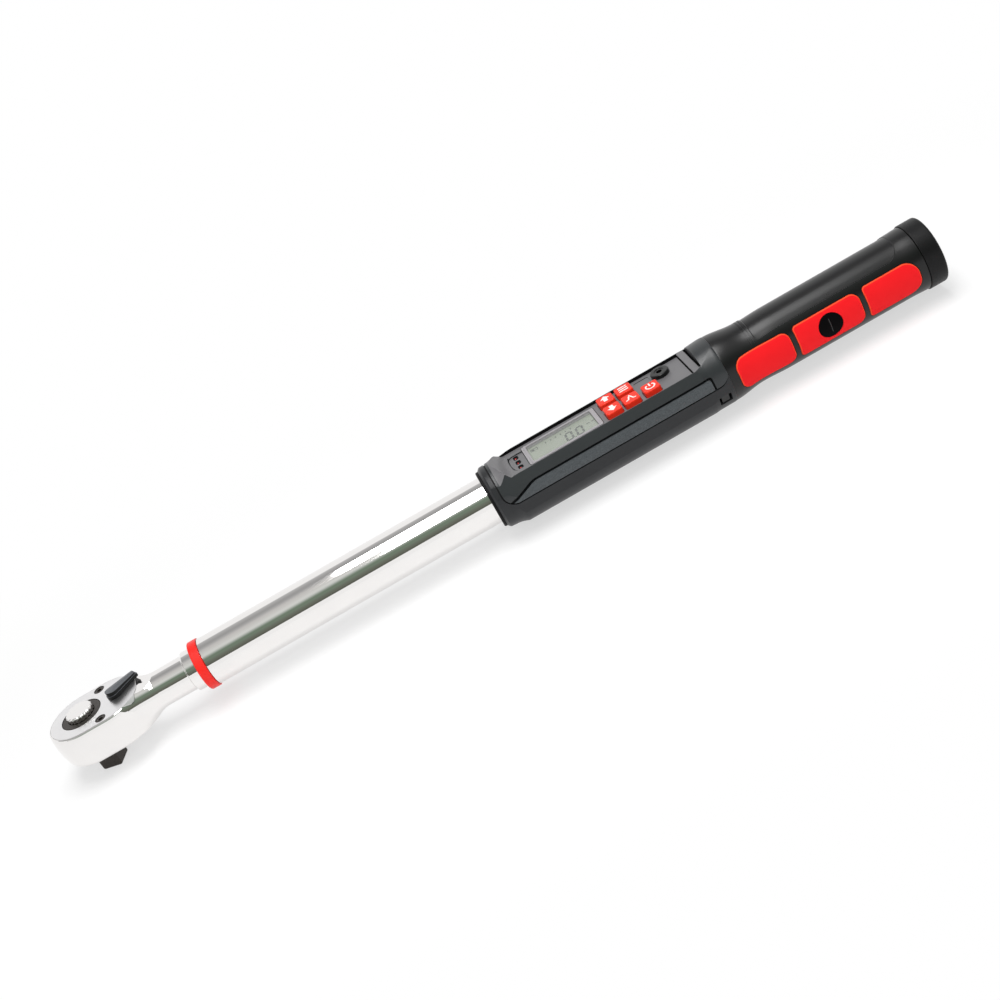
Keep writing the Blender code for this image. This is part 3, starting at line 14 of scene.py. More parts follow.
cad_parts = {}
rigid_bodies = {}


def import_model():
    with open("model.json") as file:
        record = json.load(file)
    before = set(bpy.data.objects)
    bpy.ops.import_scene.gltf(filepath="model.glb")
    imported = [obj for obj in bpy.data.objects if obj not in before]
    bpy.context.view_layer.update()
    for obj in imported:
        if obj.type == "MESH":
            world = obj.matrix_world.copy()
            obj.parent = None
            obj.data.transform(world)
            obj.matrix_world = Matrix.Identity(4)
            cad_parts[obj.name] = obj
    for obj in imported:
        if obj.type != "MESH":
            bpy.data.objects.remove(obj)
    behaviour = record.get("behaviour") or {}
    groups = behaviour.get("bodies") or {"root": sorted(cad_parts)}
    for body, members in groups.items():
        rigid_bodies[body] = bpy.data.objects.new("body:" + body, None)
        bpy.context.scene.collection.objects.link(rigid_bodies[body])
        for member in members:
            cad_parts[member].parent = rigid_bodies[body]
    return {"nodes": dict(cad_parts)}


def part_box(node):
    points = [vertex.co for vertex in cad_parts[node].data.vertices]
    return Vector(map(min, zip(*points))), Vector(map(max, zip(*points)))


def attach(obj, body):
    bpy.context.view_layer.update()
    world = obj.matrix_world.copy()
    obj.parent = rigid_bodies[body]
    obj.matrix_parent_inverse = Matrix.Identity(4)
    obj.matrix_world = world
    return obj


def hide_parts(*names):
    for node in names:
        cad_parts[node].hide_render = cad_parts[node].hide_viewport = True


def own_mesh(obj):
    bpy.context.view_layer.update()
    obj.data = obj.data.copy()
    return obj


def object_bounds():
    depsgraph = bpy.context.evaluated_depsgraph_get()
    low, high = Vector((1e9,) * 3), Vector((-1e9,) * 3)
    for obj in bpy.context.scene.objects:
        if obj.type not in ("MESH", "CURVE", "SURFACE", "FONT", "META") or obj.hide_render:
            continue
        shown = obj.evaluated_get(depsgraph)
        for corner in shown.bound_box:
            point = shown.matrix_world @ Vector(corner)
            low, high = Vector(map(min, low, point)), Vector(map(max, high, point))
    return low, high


for leftover in list(bpy.data.objects):
    bpy.data.objects.remove(leftover)
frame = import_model()
CAD_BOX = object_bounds()

MM = 0.001
WELD = 0.0005
GAP = 0.3
FAR = 60.0
TUBE_LOW, TUBE_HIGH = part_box("barrel_tube")
AXIS_HEIGHT = (TUBE_LOW.z + TUBE_HIGH.z) / 2
TO_FRAME = Matrix.Translation((0, 0, AXIS_HEIGHT)) @ Matrix.Scale(MM, 4)
TO_WORK = TO_FRAME.inverted()
ALONG_X = Matrix.Rotation(math.pi / 2, 4, "Y")
UPRIGHT = Matrix.Identity(4)
SIDE_VIEW = Matrix(((1, 0, 0, 0), (0, 0, 1, 0), (0, 1, 0, 0), (0, 0, 0, 1)))
END_VIEW = Matrix(((0, 0, 1, 0), (1, 0, 0, 0), (0, 1, 0, 0), (0, 0, 0, 1)))


def span(node):
    """Lowest and highest corner of a node, in working millimetres."""
    low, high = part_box(node)
    return TO_WORK @ low, TO_WORK @ high


# Outlines and lines


def circle(middle, radius, count=64, start=0.0, end=360.0):
    """Points round an arc; a full circle leaves out its doubled last point."""
    whole = abs(end - start) >= 360
    points = []
    for index in range(count if whole else count + 1):
        angle = math.radians(start + (end - start) * index / count)
        points.append((middle[0] + radius * math.cos(angle), middle[1] + radius * math.sin(angle)))
    return points


def eased(start, end, first, last, count=16):
    """A line that leaves and arrives level, as (place, value) points."""
    points = []
    for index in range(count + 1):
        share = index / count
        risen = (1 - math.cos(math.pi * share)) / 2
        points.append((start + (end - start) * share, first + (last - first) * risen))
    return points


def filleted(corners, count=5):
    """The closed outline through corners of (u, v, radius), with an arc of that radius at each."""
    outline = []
    for index, (u, v, radius) in enumerate(corners):
        here = Vector((u, v))
        if not radius:
            outline.append(tuple(here))
            continue
        back = (Vector(corners[index - 1][:2]) - here).normalized()
        ahead = (Vector(corners[(index + 1) % len(corners)][:2]) - here).normalized()
        half = math.acos(max(-1.0, min(1.0, back.dot(ahead)))) / 2
        middle = here + (back + ahead).normalized() * radius / math.sin(half)
        begin = here + back * radius / math.tan(half) - middle
        turn = math.pi - 2 * half
        if back.x * ahead.y - back.y * ahead.x > 0:
            turn = -turn
        for step in range(count + 1):
            outline.append(tuple(middle + Matrix.Rotation(turn * step / count, 2) @ begin))
    return outline


def rounded_box(middle, size, radius, grow=0.0, count=6):
    half_u = size[0] / 2 + grow
    half_v = size[1] / 2 + grow
    corners = [(-half_u, -half_v), (half_u, -half_v), (half_u, half_v), (-half_u, half_v)]
    return filleted([(middle[0] + u, middle[1] + v, radius + grow) for u, v in corners], count)


def stroke(path, width):
    """A thick flat line through points, as one outline."""
    left = []
    right = []
    for index, (u, v) in enumerate(path):
        before = Vector(path[max(index - 1, 0)])
        after = Vector(path[min(index + 1, len(path) - 1)])
        along = (after - before).normalized()
        across = Vector((-along.y, along.x)) * width / 2
        left.append((u + across.x, v + across.y))
        right.append((u - across.x, v - across.y))
    return left + right[::-1]


def inside(outline, u, v):
    """Whether a point lies within a flat outline."""
    crossings = 0
    for (u0, v0), (u1, v1) in zip(outline, outline[1:] + outline[:1]):
        if (v0 > v) != (v1 > v) and u < u0 + (u1 - u0) * (v - v0) / (v1 - v0):
            crossings += 1
    return crossings % 2 == 1


# Shapes


def tidied(work):
    bmesh.ops.remove_doubles(work, verts=work.verts[:], dist=WELD)
    bmesh.ops.recalc_face_normals(work, faces=work.faces[:])
    return work


def moved(work, matrix):
    bmesh.ops.transform(work, matrix=matrix, verts=work.verts[:])
    if matrix.determinant() < 0:
        bmesh.ops.reverse_faces(work, faces=work.faces[:])
    return work


def turned(profile, steps=96, placed=ALONG_X):
    """A profile of (distance along the axis, radius) points, spun once round."""
    work = bmesh.new()
    dots = [work.verts.new((radius, 0, along)) for along, radius in profile]
    for here, there in zip(dots, dots[1:] + dots[:1]):
        if here.co.x or there.co.x:
            work.edges.new((here, there))
    bmesh.ops.spin(
        work,
        geom=work.verts[:] + work.edges[:],
        axis=(0, 0, 1),
        cent=(0, 0, 0),
        angle=math.tau,
        steps=steps,
        use_merge=True,
    )
    return moved(tidied(work), placed)


def slab(outline, low, high, placed=None):
    """A flat outline raised from low to high."""
    work = bmesh.new()
    base = work.faces.new([work.verts.new((*point, low)) for point in outline])
    lifted = bmesh.ops.extrude_face_region(work, geom=[base])["geom"]
    verts = [part for part in lifted if isinstance(part, bmesh.types.BMVert)]
    bmesh.ops.translate(work, vec=(0, 0, high - low), verts=verts)
    tidied(work)
    return moved(work, placed) if placed else work


def rod(radius, low, high, spot=(0, 0), steps=64):
    """An upright round bar."""
    return slab(circle(spot, radius, steps), low, high)


def softened(work, chosen, width, segments=3):
    """Rounds the edges that the test chooses."""
    edges = [edge for edge in work.edges if chosen(edge)]
    bmesh.ops.bevel(
        work,
        geom=edges,
        offset=width,
        offset_type="OFFSET",
        affect="EDGES",
        segments=segments,
        profile=0.5,
        material=-1,
        clamp_overlap=True,
    )
    return work


def level(height):
    """Test for edges that lie at one height."""
    return lambda edge: all(abs(vert.co.z - height) < WELD for vert in edge.verts)


def lofted(sections):
    """A closed skin through rings of points with equal counts, capped at both ends."""
    work = bmesh.new()
    ring = [work.verts.new(point) for point in sections[0]]
    edges = [work.edges.new(pair) for pair in zip(ring, ring[1:] + ring[:1])]
    work.faces.new(ring)
    for section in sections[1:]:
        made = bmesh.ops.extrude_edge_only(work, edges=edges)["geom"]
        fresh = {part for part in made if isinstance(part, bmesh.types.BMVert)}
        lines = [part for part in made if isinstance(part, bmesh.types.BMEdge)]
        edges = [line for line in lines if fresh.issuperset(line.verts)]
        followers = []
        for vert in ring:
            ends = [edge.other_vert(vert) for edge in vert.link_edges]
            followers += [end for end in ends if end in fresh]
        ring = followers
        for vert, point in zip(ring, section):
            vert.co = point
    work.faces.new(ring)
    return tidied(work)


def combined(first, second, operation):
    """Two closed shapes cut, joined or overlapped exactly."""
    scraps = []
    for work in (first, second):
        mesh = bpy.data.meshes.new("scrap")
        work.to_mesh(mesh)
        work.free()
        scraps.append(bpy.data.objects.new("scrap", mesh))
        bpy.context.scene.collection.objects.link(scraps[-1])
    tool = scraps[0].modifiers.new("tool", "BOOLEAN")
    tool.operation = operation
    tool.object = scraps[1]
    result = bmesh.new()
    result.from_object(scraps[0], bpy.context.evaluated_depsgraph_get())
    for scrap in scraps:
        mesh = scrap.data
        bpy.data.objects.remove(scrap)
        bpy.data.meshes.remove(mesh)
    return result


def cut(work, *tools):
    for tool in tools:
        work = combined(work, tool, "DIFFERENCE")
    return work


def joined(work, *others):
    for other in others:
        work = combined(work, other, "UNION")
    return work


def within(work, limit):
    return combined(work, limit, "INTERSECT")


# Finishes


class Wire:
    """A value in a finish; arithmetic on it adds the nodes that work it out."""

    def __init__(self, tree, socket=None):
        self.tree = tree
        self.socket = socket

    def node(self, kind, settings=None, inputs=None, output=0):
        """Adds a node: its settings come first, then the values or links of its sockets."""
        made = self.tree.nodes.new(kind)
        for name, value in (settings or {}).items():
            if name == "stops":
                ramp = made.color_ramp.elements
                while len(ramp) < len(value):
                    ramp.new(1.0)
                for stop, (place, colour) in zip(ramp, value):
                    stop.position = place
                    stop.color = (*colour, 1.0)
            else:
                setattr(made, name, value)
        for name, value in (inputs or {}).items():
            feed(self.tree, made.inputs[name], value)
        return Wire(self.tree, None if output is None else made.outputs[output])

    def maths(self, operation, *values):
        return self.node("ShaderNodeMath", {"operation": operation}, dict(enumerate(values)))

    def __add__(self, other):
        return self.maths("ADD", self, other)

    __radd__ = __add__

    def __sub__(self, other):
        return self.maths("SUBTRACT", self, other)

    def __rsub__(self, other):
        return self.maths("SUBTRACT", other, self)

    def __mul__(self, other):
        return self.maths("MULTIPLY", self, other)

    __rmul__ = __mul__

    def __truediv__(self, other):
        return self.maths("DIVIDE", self, other)

    def place(self):
        return self.node("ShaderNodeTexCoord", output="Object")

    def noise(self, scale, detail=2.0, rough=0.5):
        """Cloudy pattern from 0 to 1, with scale in features per metre."""
        fields = {"Vector": self.place(), "Scale": scale, "Detail": detail, "Roughness": rough}
        return self.node("ShaderNodeTexNoise", inputs=fields)

    def blend(self, first, second):
        """Goes from the first colour to the second as this value goes from 0 to 1."""
        return self.node("ShaderNodeMix", {"data_type": "RGBA"}, {0: self, 6: first, 7: second}, 2)

    def bump(self, depth, strength=1.0):
        """A surface whose relief follows this value, with its depth in metres."""
        fields = {"Strength": strength, "Distance": depth, "Height": self}
        return self.node("ShaderNodeBump", inputs=fields)


def feed(tree, socket, value):
    if isinstance(value, Wire):
        tree.links.new(value.socket, socket)
    else:
        socket.default_value = value


def tint(red, green, blue):
    """A colour as it looks on screen, turned into the light values that shaders take."""
    light = []
    for part in (red, green, blue):
        share = part / 255
        light.append(share / 12.92 if share <= 0.04045 else ((share + 0.055) / 1.055) ** 2.4)
    return (*light, 1.0)


def finish(name, pattern, metallic=0.0, **sockets):
    """A finish for one kind of surface; its pattern gives the sockets that change over it."""
    made = bpy.data.materials.new(name)
    made.use_nodes = True
    tree = made.node_tree
    shader = tree.nodes["Principled BSDF"]
    values = {"Metallic": metallic}
    values.update({field.replace("_", " "): value for field, value in sockets.items()})
    if pattern:
        values.update(pattern(Wire(tree)))
    for field, value in values.items():
        feed(tree, shader.inputs[field], value)
    return made


def polished(colour, other, low, high):
    """Bright plating with a faint haze where hands have been."""

    def pattern(wire):
        haze = wire.noise(55.0, 3.0, 0.6)
        return {"Base Color": haze.blend(colour, other), "Roughness": low + (high - low) * haze}

    return pattern


def moulded(colour, other, low, high, grain, depth):
    """Moulded plastic or rubber: a fine grain in the skin and a slow change of tone and gloss."""

    def pattern(wire):
        skin = wire.noise(grain, 2.0, 0.6)
        cloud = wire.noise(40.0, 2.0)
        return {
            "Base Color": cloud.blend(colour, other),
            "Roughness": low + (high - low) * (0.5 * skin + 0.5 * cloud),
            "Normal": skin.bump(depth),
        }

    return pattern


def pebbled(colour, other, low, high, grain, depth):
    """Moulded texture coarse enough to see, light on its grains and dark between them."""

    def pattern(wire):
        grains = wire.noise(grain, 3.0, 0.6)
        spread = wire.maths("MINIMUM", wire.maths("MAXIMUM", 3.0 * grains - 1.0, 0.0), 1.0)
        return {
            "Base Color": spread.blend(other, colour),
            "Roughness": high - (high - low) * spread,
            "Normal": grains.bump(depth),
        }

    return pattern


def blackened(colour, other, low, high):
    """Oil-blackened steel, mottled where the black is thin."""

    def pattern(wire):
        mottle = wire.noise(420.0, 4.0, 0.65)
        return {
            "Base Color": mottle.blend(colour, other),
            "Roughness": low + (high - low) * mottle,
            "Normal": mottle.bump(0.00002, 0.5),
        }

    return pattern


CHROME = finish(
    "polished_chrome",
    polished(tint(240, 238, 236), tint(234, 232, 231), 0.03, 0.06),
    1.0,
)
SATIN_CHROME = finish(
    "satin_chrome_plate",
    polished(tint(235, 234, 234), tint(226, 225, 226), 0.26, 0.34),
    1.0,
)
BLACK_STEEL = finish(
    "black_steel",
    blackened(tint(64, 58, 53), tint(42, 39, 37), 0.3, 0.5),
    0.6,
)
# Painted light: a lighter grey for the lever's faces that look up, while its sides are black.
LEVER_LIT_TOP = finish(
    "gunmetal",
    blackened(tint(92, 95, 100), tint(64, 67, 71), 0.3, 0.44),
)
SPRING_STEEL = finish(
    "spring_steel",
    polished(tint(196, 196, 198), tint(172, 172, 176), 0.22, 0.34),
    1.0,
)
RING_RED = finish(
    "marker_red",
    moulded(tint(242, 40, 28), tint(234, 28, 22), 0.3, 0.4, 2600.0, 0.000006),
    Specular_IOR_Level=0.3,
)
KEY_RED = finish(
    "key_red",
    moulded(tint(243, 57, 29), tint(235, 42, 26), 0.3, 0.42, 5200.0, 0.000006),
    Specular_IOR_Level=0.2,
)
LEGEND_WHITE = finish(
    "legend_white",
    moulded(tint(248, 244, 240), tint(240, 235, 231), 0.45, 0.55, 3000.0, 0.000004),
)
CHARCOAL = finish(
    "charcoal_shell",
    moulded(tint(41, 44, 46), tint(33, 36, 38), 0.28, 0.4, 4200.0, 0.000003),
)
CHARCOAL_BAND = finish(
    "charcoal_band",
    pebbled(tint(72, 78, 81), tint(47, 51, 54), 0.36, 0.5, 1900.0, 0.00002),
)
LOWER_BLACK = finish(
    "charcoal_lower",
    moulded(tint(41, 42, 44), tint(34, 35, 37), 0.28, 0.42, 4200.0, 0.000003),
    Specular_IOR_Level=0.28,
)
PANEL_GREY = finish(
    "panel_grey",
    moulded(tint(108, 107, 109), tint(98, 97, 99), 0.34, 0.48, 3600.0, 0.000004),
)
BEZEL_GREY = finish(
    "bezel_grey",
    moulded(tint(158, 155, 158), tint(149, 146, 149), 0.4, 0.52, 3800.0, 0.000008),
)
BLACK_PLASTIC = finish(
    "black_plastic",
    moulded(tint(17, 17, 18), tint(10, 10, 11), 0.24, 0.34, 4200.0, 0.0000022),
    Specular_IOR_Level=0.36,
)
DISC_BLACK = finish(
    "disc_black",
    moulded(tint(5, 4, 5), tint(2, 2, 3), 0.55, 0.65, 4200.0, 0.000008),
    Specular_IOR_Level=0.05,
)
CAP_BLACK = finish(
    "cap_black",
    pebbled(tint(18, 18, 19), tint(7, 7, 8), 0.34, 0.48, 1500.0, 0.00002),
    Specular_IOR_Level=0.2,
)
BLACK_RUBBER = finish(
    "black_rubber",
    moulded(tint(11, 11, 12), tint(6, 6, 7), 0.55, 0.72, 2600.0, 0.00002),
    Specular_IOR_Level=0.2,
)
LAMP_RED = finish(
    "lamp_red",
    moulded(tint(212, 48, 46), tint(180, 26, 28), 0.1, 0.2, 900.0, 0.000004),
)
COPPER_FILM = finish(
    "copper_film",
    blackened(tint(200, 144, 86), tint(176, 122, 70), 0.32, 0.48),
    0.6,
)
CELL_JACKET = finish(
    "cell_jacket",
    polished(tint(80, 86, 98), tint(66, 72, 84), 0.28, 0.4),
    0.3,
)


def grip_rubber(wire):
    """Soft red rubber with a painted highlight: a lighter orange along the rim of each pad."""
    rim = wire.node("ShaderNodeAttribute", {"attribute_name": "rim"}, output="Fac")
    skin = wire.noise(2400.0, 3.0, 0.6)
    cloud = wire.noise(45.0, 2.0)
    body = cloud.blend(tint(240, 27, 33), tint(232, 20, 28))
    return {
        # Painted highlight: the marked rim of each pad turns lighter orange.
        "Base Color": rim.blend(body, tint(248, 78, 44)),
        "Roughness": 0.5 + 0.16 * skin,
        "Normal": skin.bump(0.00001),
    }


def display_cell(wire):
    """Reflective display: a pale green cell, slightly clouded."""
    cloud = wire.noise(60.0, 2.0)
    green = cloud.blend(tint(142, 149, 134), tint(135, 142, 127))
    return {"Base Color": green, "Roughness": 0.3 + 0.1 * cloud}


def board_lacquer(wire):
    """Green lacquer over copper tracks."""
    fields = {"Vector": wire.place(), "Scale": 160.0, "Mortar Size": 0.04}
    tracks = wire.node("ShaderNodeTexBrick", {"offset": 0.5}, fields, "Fac")
    green = tracks.blend(tint(34, 98, 58), tint(58, 132, 84))
    return {"Base Color": green, "Roughness": 0.36 + 0.1 * tracks}


GRIP_RED = finish("grip_rubber", grip_rubber, Specular_IOR_Level=0.12)
DISPLAY_CELL = finish("display_cell", display_cell)
DISPLAY_INK = finish(
    "display_ink",
    moulded(tint(48, 52, 46), tint(42, 46, 40), 0.35, 0.45, 3000.0, 0.000002),
)
DISPLAY_GLASS = finish("display_glass", None, Base_Color=tint(225, 230, 226), Roughness=0.04, Alpha=0.1)
BOARD_GREEN = finish("board_green", board_lacquer)


# Pieces


def piece(name, work, looks, slot, *nodes, body="wrench", crease=28.0):
    """Finishes a shape as an object of the scene, riding on its body in place of its nodes."""
    mesh = bpy.data.meshes.new(name)
    moved(work, TO_FRAME).to_mesh(mesh)
    work.free()
    mesh.shade_smooth()
    mesh.set_sharp_from_angle(angle=math.radians(crease))
    for look in looks if isinstance(looks, tuple) else (looks,):
        mesh.materials.append(look)
    made = bpy.data.objects.new(name, mesh)
    bpy.context.scene.collection.objects.link(made)
    made.modifiers.new("steady_light", "WEIGHTED_NORMAL").keep_sharp = True
    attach(made, body)
    if nodes:
        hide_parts(*nodes)
    return made


# Ratchet head, drive and lever

HEAD_RADIUS = 22.0
HEAD_FRONT = 21.87
HEAD_TOP = 10.8
HEAD_BOTTOM = -11.5
HEAD_BULGE = (
    (-11.5, 4.4),
    (-11.35, 3.4),
    (-10.9, 2.5),
    (-10.2, 1.8),
    (-9.2, 1.25),
    (-8.0, 0.9),
    (-6.0, 0.5),
    (-3.0, 0.18),
    (0.0, 0.02),
    (2.0, 0.0),
    (4.0, 0.06),
    (6.0, 0.18),
    (8.0, 0.42),
    (9.2, 0.62),
    (9.9, 0.85),
    (10.35, 1.2),
    (10.65, 1.7),
    (10.8, 2.4),
)
SHOULDER_START = 15.0
SHOULDER_END = 48.0
ENVELOPE_START = 13.0
ENVELOPE_END = 45.0
ENVELOPE_RADIUS = 25.5
NECK_HALF = 10.2
NECK_RADIUS = 10.6
NECK_ROOT = 37.5
NECK_END = 63.6
COLLAR_END = 70.3
COLLAR_RADIUS = 12.15
SHANK_RADIUS = 12.0
SPIGOT_END = 111.6
BEAM_END = 189.6
BEAM_RADIUS = 8.5
BEAM_FLAT = 6.0
PLUG_END = 203.6
PLATE_UNDER = 8.4
PLATE_REACH = 35.0
PLATE_INSET = 2.0
PLATE_SEAM = 0.15
COVE_X = 39.6
COVE_RADIUS = 12.0
COVE_DEPTH = 1.6
TEETH = 36
GEAR_TIP = 14.6
GEAR_ROOT = 13.4
GEAR_FLOOR = -8.5
HUB_RADIUS = 12.25
JOURNAL_RADIUS = 10.0
DRIVE_SIDE = 12.7
DRIVE_CORNER = 1.3
DRIVE_TIP_EDGE = 1.2
DRIVE_TIP = span("drive_gear")[0].z
DRIVE_TURN = Matrix.Rotation(math.radians(-21.0), 4, "Z")
BUTTON_RADIUS = 8.25
SCALLOP_DEPTH = 0.4
SCALLOPS = 18
SPRING_RADIUS = 4.65
SPRING_WIRE = 0.35
SPRING_TURNS = 2.25
SPRING_STEPS = 90
LEVER_SPOT = (22.0, 0.0)
LEVER_BASE = 4.5
LEVER_TIP = 2.7
LEVER_REACH = 16.9
LEVER_STEP = 2.0
LEVER_HEIGHT = 4.4
LEVER_FALL = 1.3
LEVER_FACET = 0.22
LEVER_RIDGE = 0.8
LEVER_PIVOT = 2.6
LEVER_BORE = 3.7
LEVER_TURN = Matrix.Translation((*LEVER_SPOT, 0)) @ Matrix.Rotation(math.radians(32.0), 4, "Z")
SCREW_SPOTS = {"left": (11.9, -15.8), "right": (11.9, 15.8)}


def pear_outline(grow=0.0):
    """Plan of the head: round in front, drawn in to the neck behind."""
    side = eased(SHOULDER_START, SHOULDER_END, HEAD_RADIUS + grow, NECK_HALF + grow, 30)
    front = circle((0, 0), HEAD_RADIUS + grow, 72, 90, 270)
    front = [(x * HEAD_FRONT / HEAD_RADIUS, y) for x, y in front]
    return side[::-1] + front + [(x, -half) for x, half in side]


def pawl_room():
    outline = circle((0, 0), 19.9, 16, -39, 39) + circle((0, 0), GEAR_ROOT, 16, 39, -39)
    return slab(outline, GEAR_FLOOR - 0.15, FAR)


def head_body():
    """The forging's full form: bulging sides, drawn in to the neck by a round limit."""
    sections = [[(*point, z) for point in pear_outline(-inset)] for z, inset in HEAD_BULGE]
    front = -HEAD_RADIUS - 1
    taper = eased(ENVELOPE_START, ENVELOPE_END, ENVELOPE_RADIUS, NECK_RADIUS, 40)
    limit = [(front, 0), (front, ENVELOPE_RADIUS), *taper, (SHOULDER_END, NECK_RADIUS), (SHOULDER_END, 0)]
    return within(lofted(sections), turned(limit, 160))


def plate_blank(low, grow):
    """The plate's plan, cut off behind the lever by an arc round the drive."""
    blank = slab(pear_outline(grow - PLATE_INSET), low, FAR)
    return within(blank, rod(PLATE_REACH + grow, low - 1, FAR + 1, steps=160))


def make_head():
    forging = head_body()
    shank = [
        (NECK_ROOT, 0, 0),
        (NECK_ROOT, NECK_RADIUS, 0),
        (NECK_END, NECK_RADIUS, 0.5),
        (NECK_END + 0.9, COLLAR_RADIUS, 0.4),
        (COLLAR_END, COLLAR_RADIUS, 0.4),
        (COLLAR_END, SHANK_RADIUS, 0),
        (SPIGOT_END, SHANK_RADIUS, 0),
        (SPIGOT_END, BEAM_RADIUS, 0),
        (BEAM_END, BEAM_RADIUS, 0),
        (BEAM_END, SHANK_RADIUS, 0),
        (PLUG_END, SHANK_RADIUS, 0),
        (PLUG_END, 0, 0),
    ]
    forging = joined(forging, turned(filleted(shank), 128))
    flats = [
        slab(rounded_box(((SPIGOT_END + BEAM_END) / 2, side * (BEAM_FLAT + 5)), (78, 10), 0.5), -FAR, FAR)
        for side in (-1, 1)
    ]
    cove_middle = (COVE_X, HEAD_TOP + COVE_RADIUS - COVE_DEPTH)
    forging = cut(
        forging,
        slab(circle(cove_middle, COVE_RADIUS, 120), -FAR, FAR, SIDE_VIEW),
        plate_blank(PLATE_UNDER - GAP, PLATE_SEAM),
        rod(GEAR_TIP + GAP, GEAR_FLOOR, FAR),
        rod(JOURNAL_RADIUS + GAP, -FAR, FAR),
        pawl_room(),
        rod(LEVER_BORE, GEAR_FLOOR - GAP, FAR, LEVER_SPOT),
        *(rod(1.8, 0.0, FAR, spot, 24) for spot in SCREW_SPOTS.values()),
        *flats,
    )
    piece("head_forging", forging, CHROME, "polished_chrome", "ratchet_head", crease=16)


def make_cover_plate():
    plate = within(head_body(), plate_blank(PLATE_UNDER, 0.0))
    plate = cut(
        plate,
        rod(HUB_RADIUS + GAP, 0, FAR, steps=96),
        rod(LEVER_BORE, 0, FAR, LEVER_SPOT),
        *(rod(1.9, 0, FAR, spot, 24) for spot in SCREW_SPOTS.values()),
        *(rod(3.3, HEAD_TOP - 1.6, FAR, spot, 40) for spot in SCREW_SPOTS.values()),
    )
    piece("cover_plate", plate, SATIN_CHROME, "polished_chrome", "head_cover", crease=16)


def make_cover_screws():
    for side, spot in SCREW_SPOTS.items():
        high = HEAD_TOP - 0.3
        low = span(f"cover_screw_{side}")[0].z
        profile = [
            (low, 0, 0),
            (low, 1.6, 0.3),
            (high - 1.3, 1.6, 0),
            (high - 1.3, 3.1, 0.1),
            (high, 3.1, 0.35),
            (high, 0, 0),
        ]
        placed = Matrix.Translation((*spot, 0))
        screw = turned(filleted(profile, 3), 48, placed)
        screw = cut(screw, slab(circle(spot, 1.6, 6, 15, 375), high - 0.9, FAR))
        piece(f"socket_screw_{side}", screw, BLACK_STEEL, "black_steel", f"cover_screw_{side}")


def make_drive():
    teeth = []
    for index in range(TEETH):
        middle = index * 360.0 / TEETH
        for offset, radius in ((-3.4, GEAR_ROOT), (-1.0, GEAR_TIP), (1.0, GEAR_TIP), (3.4, GEAR_ROOT)):
            angle = math.radians(middle + offset)
            teeth.append((radius * math.cos(angle), radius * math.sin(angle)))
    gear = slab(teeth, GEAR_FLOOR + GAP, PLATE_UNDER - GAP, DRIVE_TURN)
    journal_low = HEAD_BOTTOM - 0.5
    hub = [
        (journal_low, 0, 0),
        (journal_low, JOURNAL_RADIUS, 0.4),
        (GEAR_FLOOR + 1, JOURNAL_RADIUS, 0),
        (GEAR_FLOOR + 1, HUB_RADIUS, 0),
        (HEAD_TOP, HUB_RADIUS, 0.5),
        (HEAD_TOP, 0, 0),
    ]
    square = rounded_box((0, 0), (DRIVE_SIDE, DRIVE_SIDE), DRIVE_CORNER, count=5)
    square = slab(square, DRIVE_TIP, GEAR_FLOOR)
    softened(square, level(DRIVE_TIP), DRIVE_TIP_EDGE, 5)
    drive = joined(gear, turned(filleted(hub), 96, UPRIGHT), moved(square, DRIVE_TURN))
    seat = [(-22.4, 0), (-22.4, 2.35), (5.0, 2.35), (5.0, 8.55), (FAR, 8.55), (FAR, 0)]
    ball_low, ball_high = span("detent_ball")
    ball_place = (ball_low + ball_high) / 2
    outward = Vector((ball_place.x, ball_place.y, 0)).normalized()
    hole = turned([(0, 0), (0, 2.6), (FAR, 2.6), (FAR, 0)], 32, UPRIGHT)
    aim = outward.to_track_quat("Z", "Y").to_matrix().to_4x4()
    hole = moved(hole, Matrix.Translation((0, 0, ball_place.z)) @ aim)
    drive = cut(drive, turned(seat, 64, UPRIGHT), hole)
    piece("square_drive", drive, BLACK_STEEL, "black_steel", "drive_gear", body="drive")


def make_button():
    high = span("release_button")[1].z
    low = HEAD_TOP - 1.5
    edge = []
    for index in range(240):
        angle = math.tau * index / 240
        radius = BUTTON_RADIUS - SCALLOP_DEPTH * (0.5 - 0.5 * math.cos(SCALLOPS * angle))
        edge.append((radius * math.cos(angle), radius * math.sin(angle)))
    button = slab(edge, low, high)
    softened(button, level(high), 0.8, 4)
    pin_low = span("release_button")[0].z
    pin = [
        (pin_low, 0),
        (pin_low, 2.05),
        (pin_low + 1.5, 2.05),
        (pin_low + 3.0, 1.0),
        (pin_low + 6.1, 1.0),
        (pin_low + 6.1, 2.05),
        (low + 0.5, 2.05),
        (low + 0.5, 0),
    ]
    button = joined(button, turned(pin, 32, UPRIGHT))
    piece("push_button", button, CHROME, "polished_chrome", "release_button", body="button", crease=24)


def make_release_spring():
    """A coil under the button, with a mesh of its own."""
    low, high = span("release_spring")
    bottom = low.z + SPRING_WIRE
    rise = high.z - SPRING_WIRE - bottom
    rings = []
    for index in range(SPRING_STEPS + 1):
        share = index / SPRING_STEPS
        turn = Matrix.Rotation(math.tau * SPRING_TURNS * share, 4, "Z")
        lift = Vector((SPRING_RADIUS, 0, bottom + rise * share))
        rings.append([turn @ (lift + Vector((u, 0, v))) for u, v in circle((0, 0), SPRING_WIRE, 8)])
    coil = lofted(rings)
    spring = piece("button_spring", coil, SPRING_STEEL, "spring_steel", "release_spring", body="drive")
    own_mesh(spring)


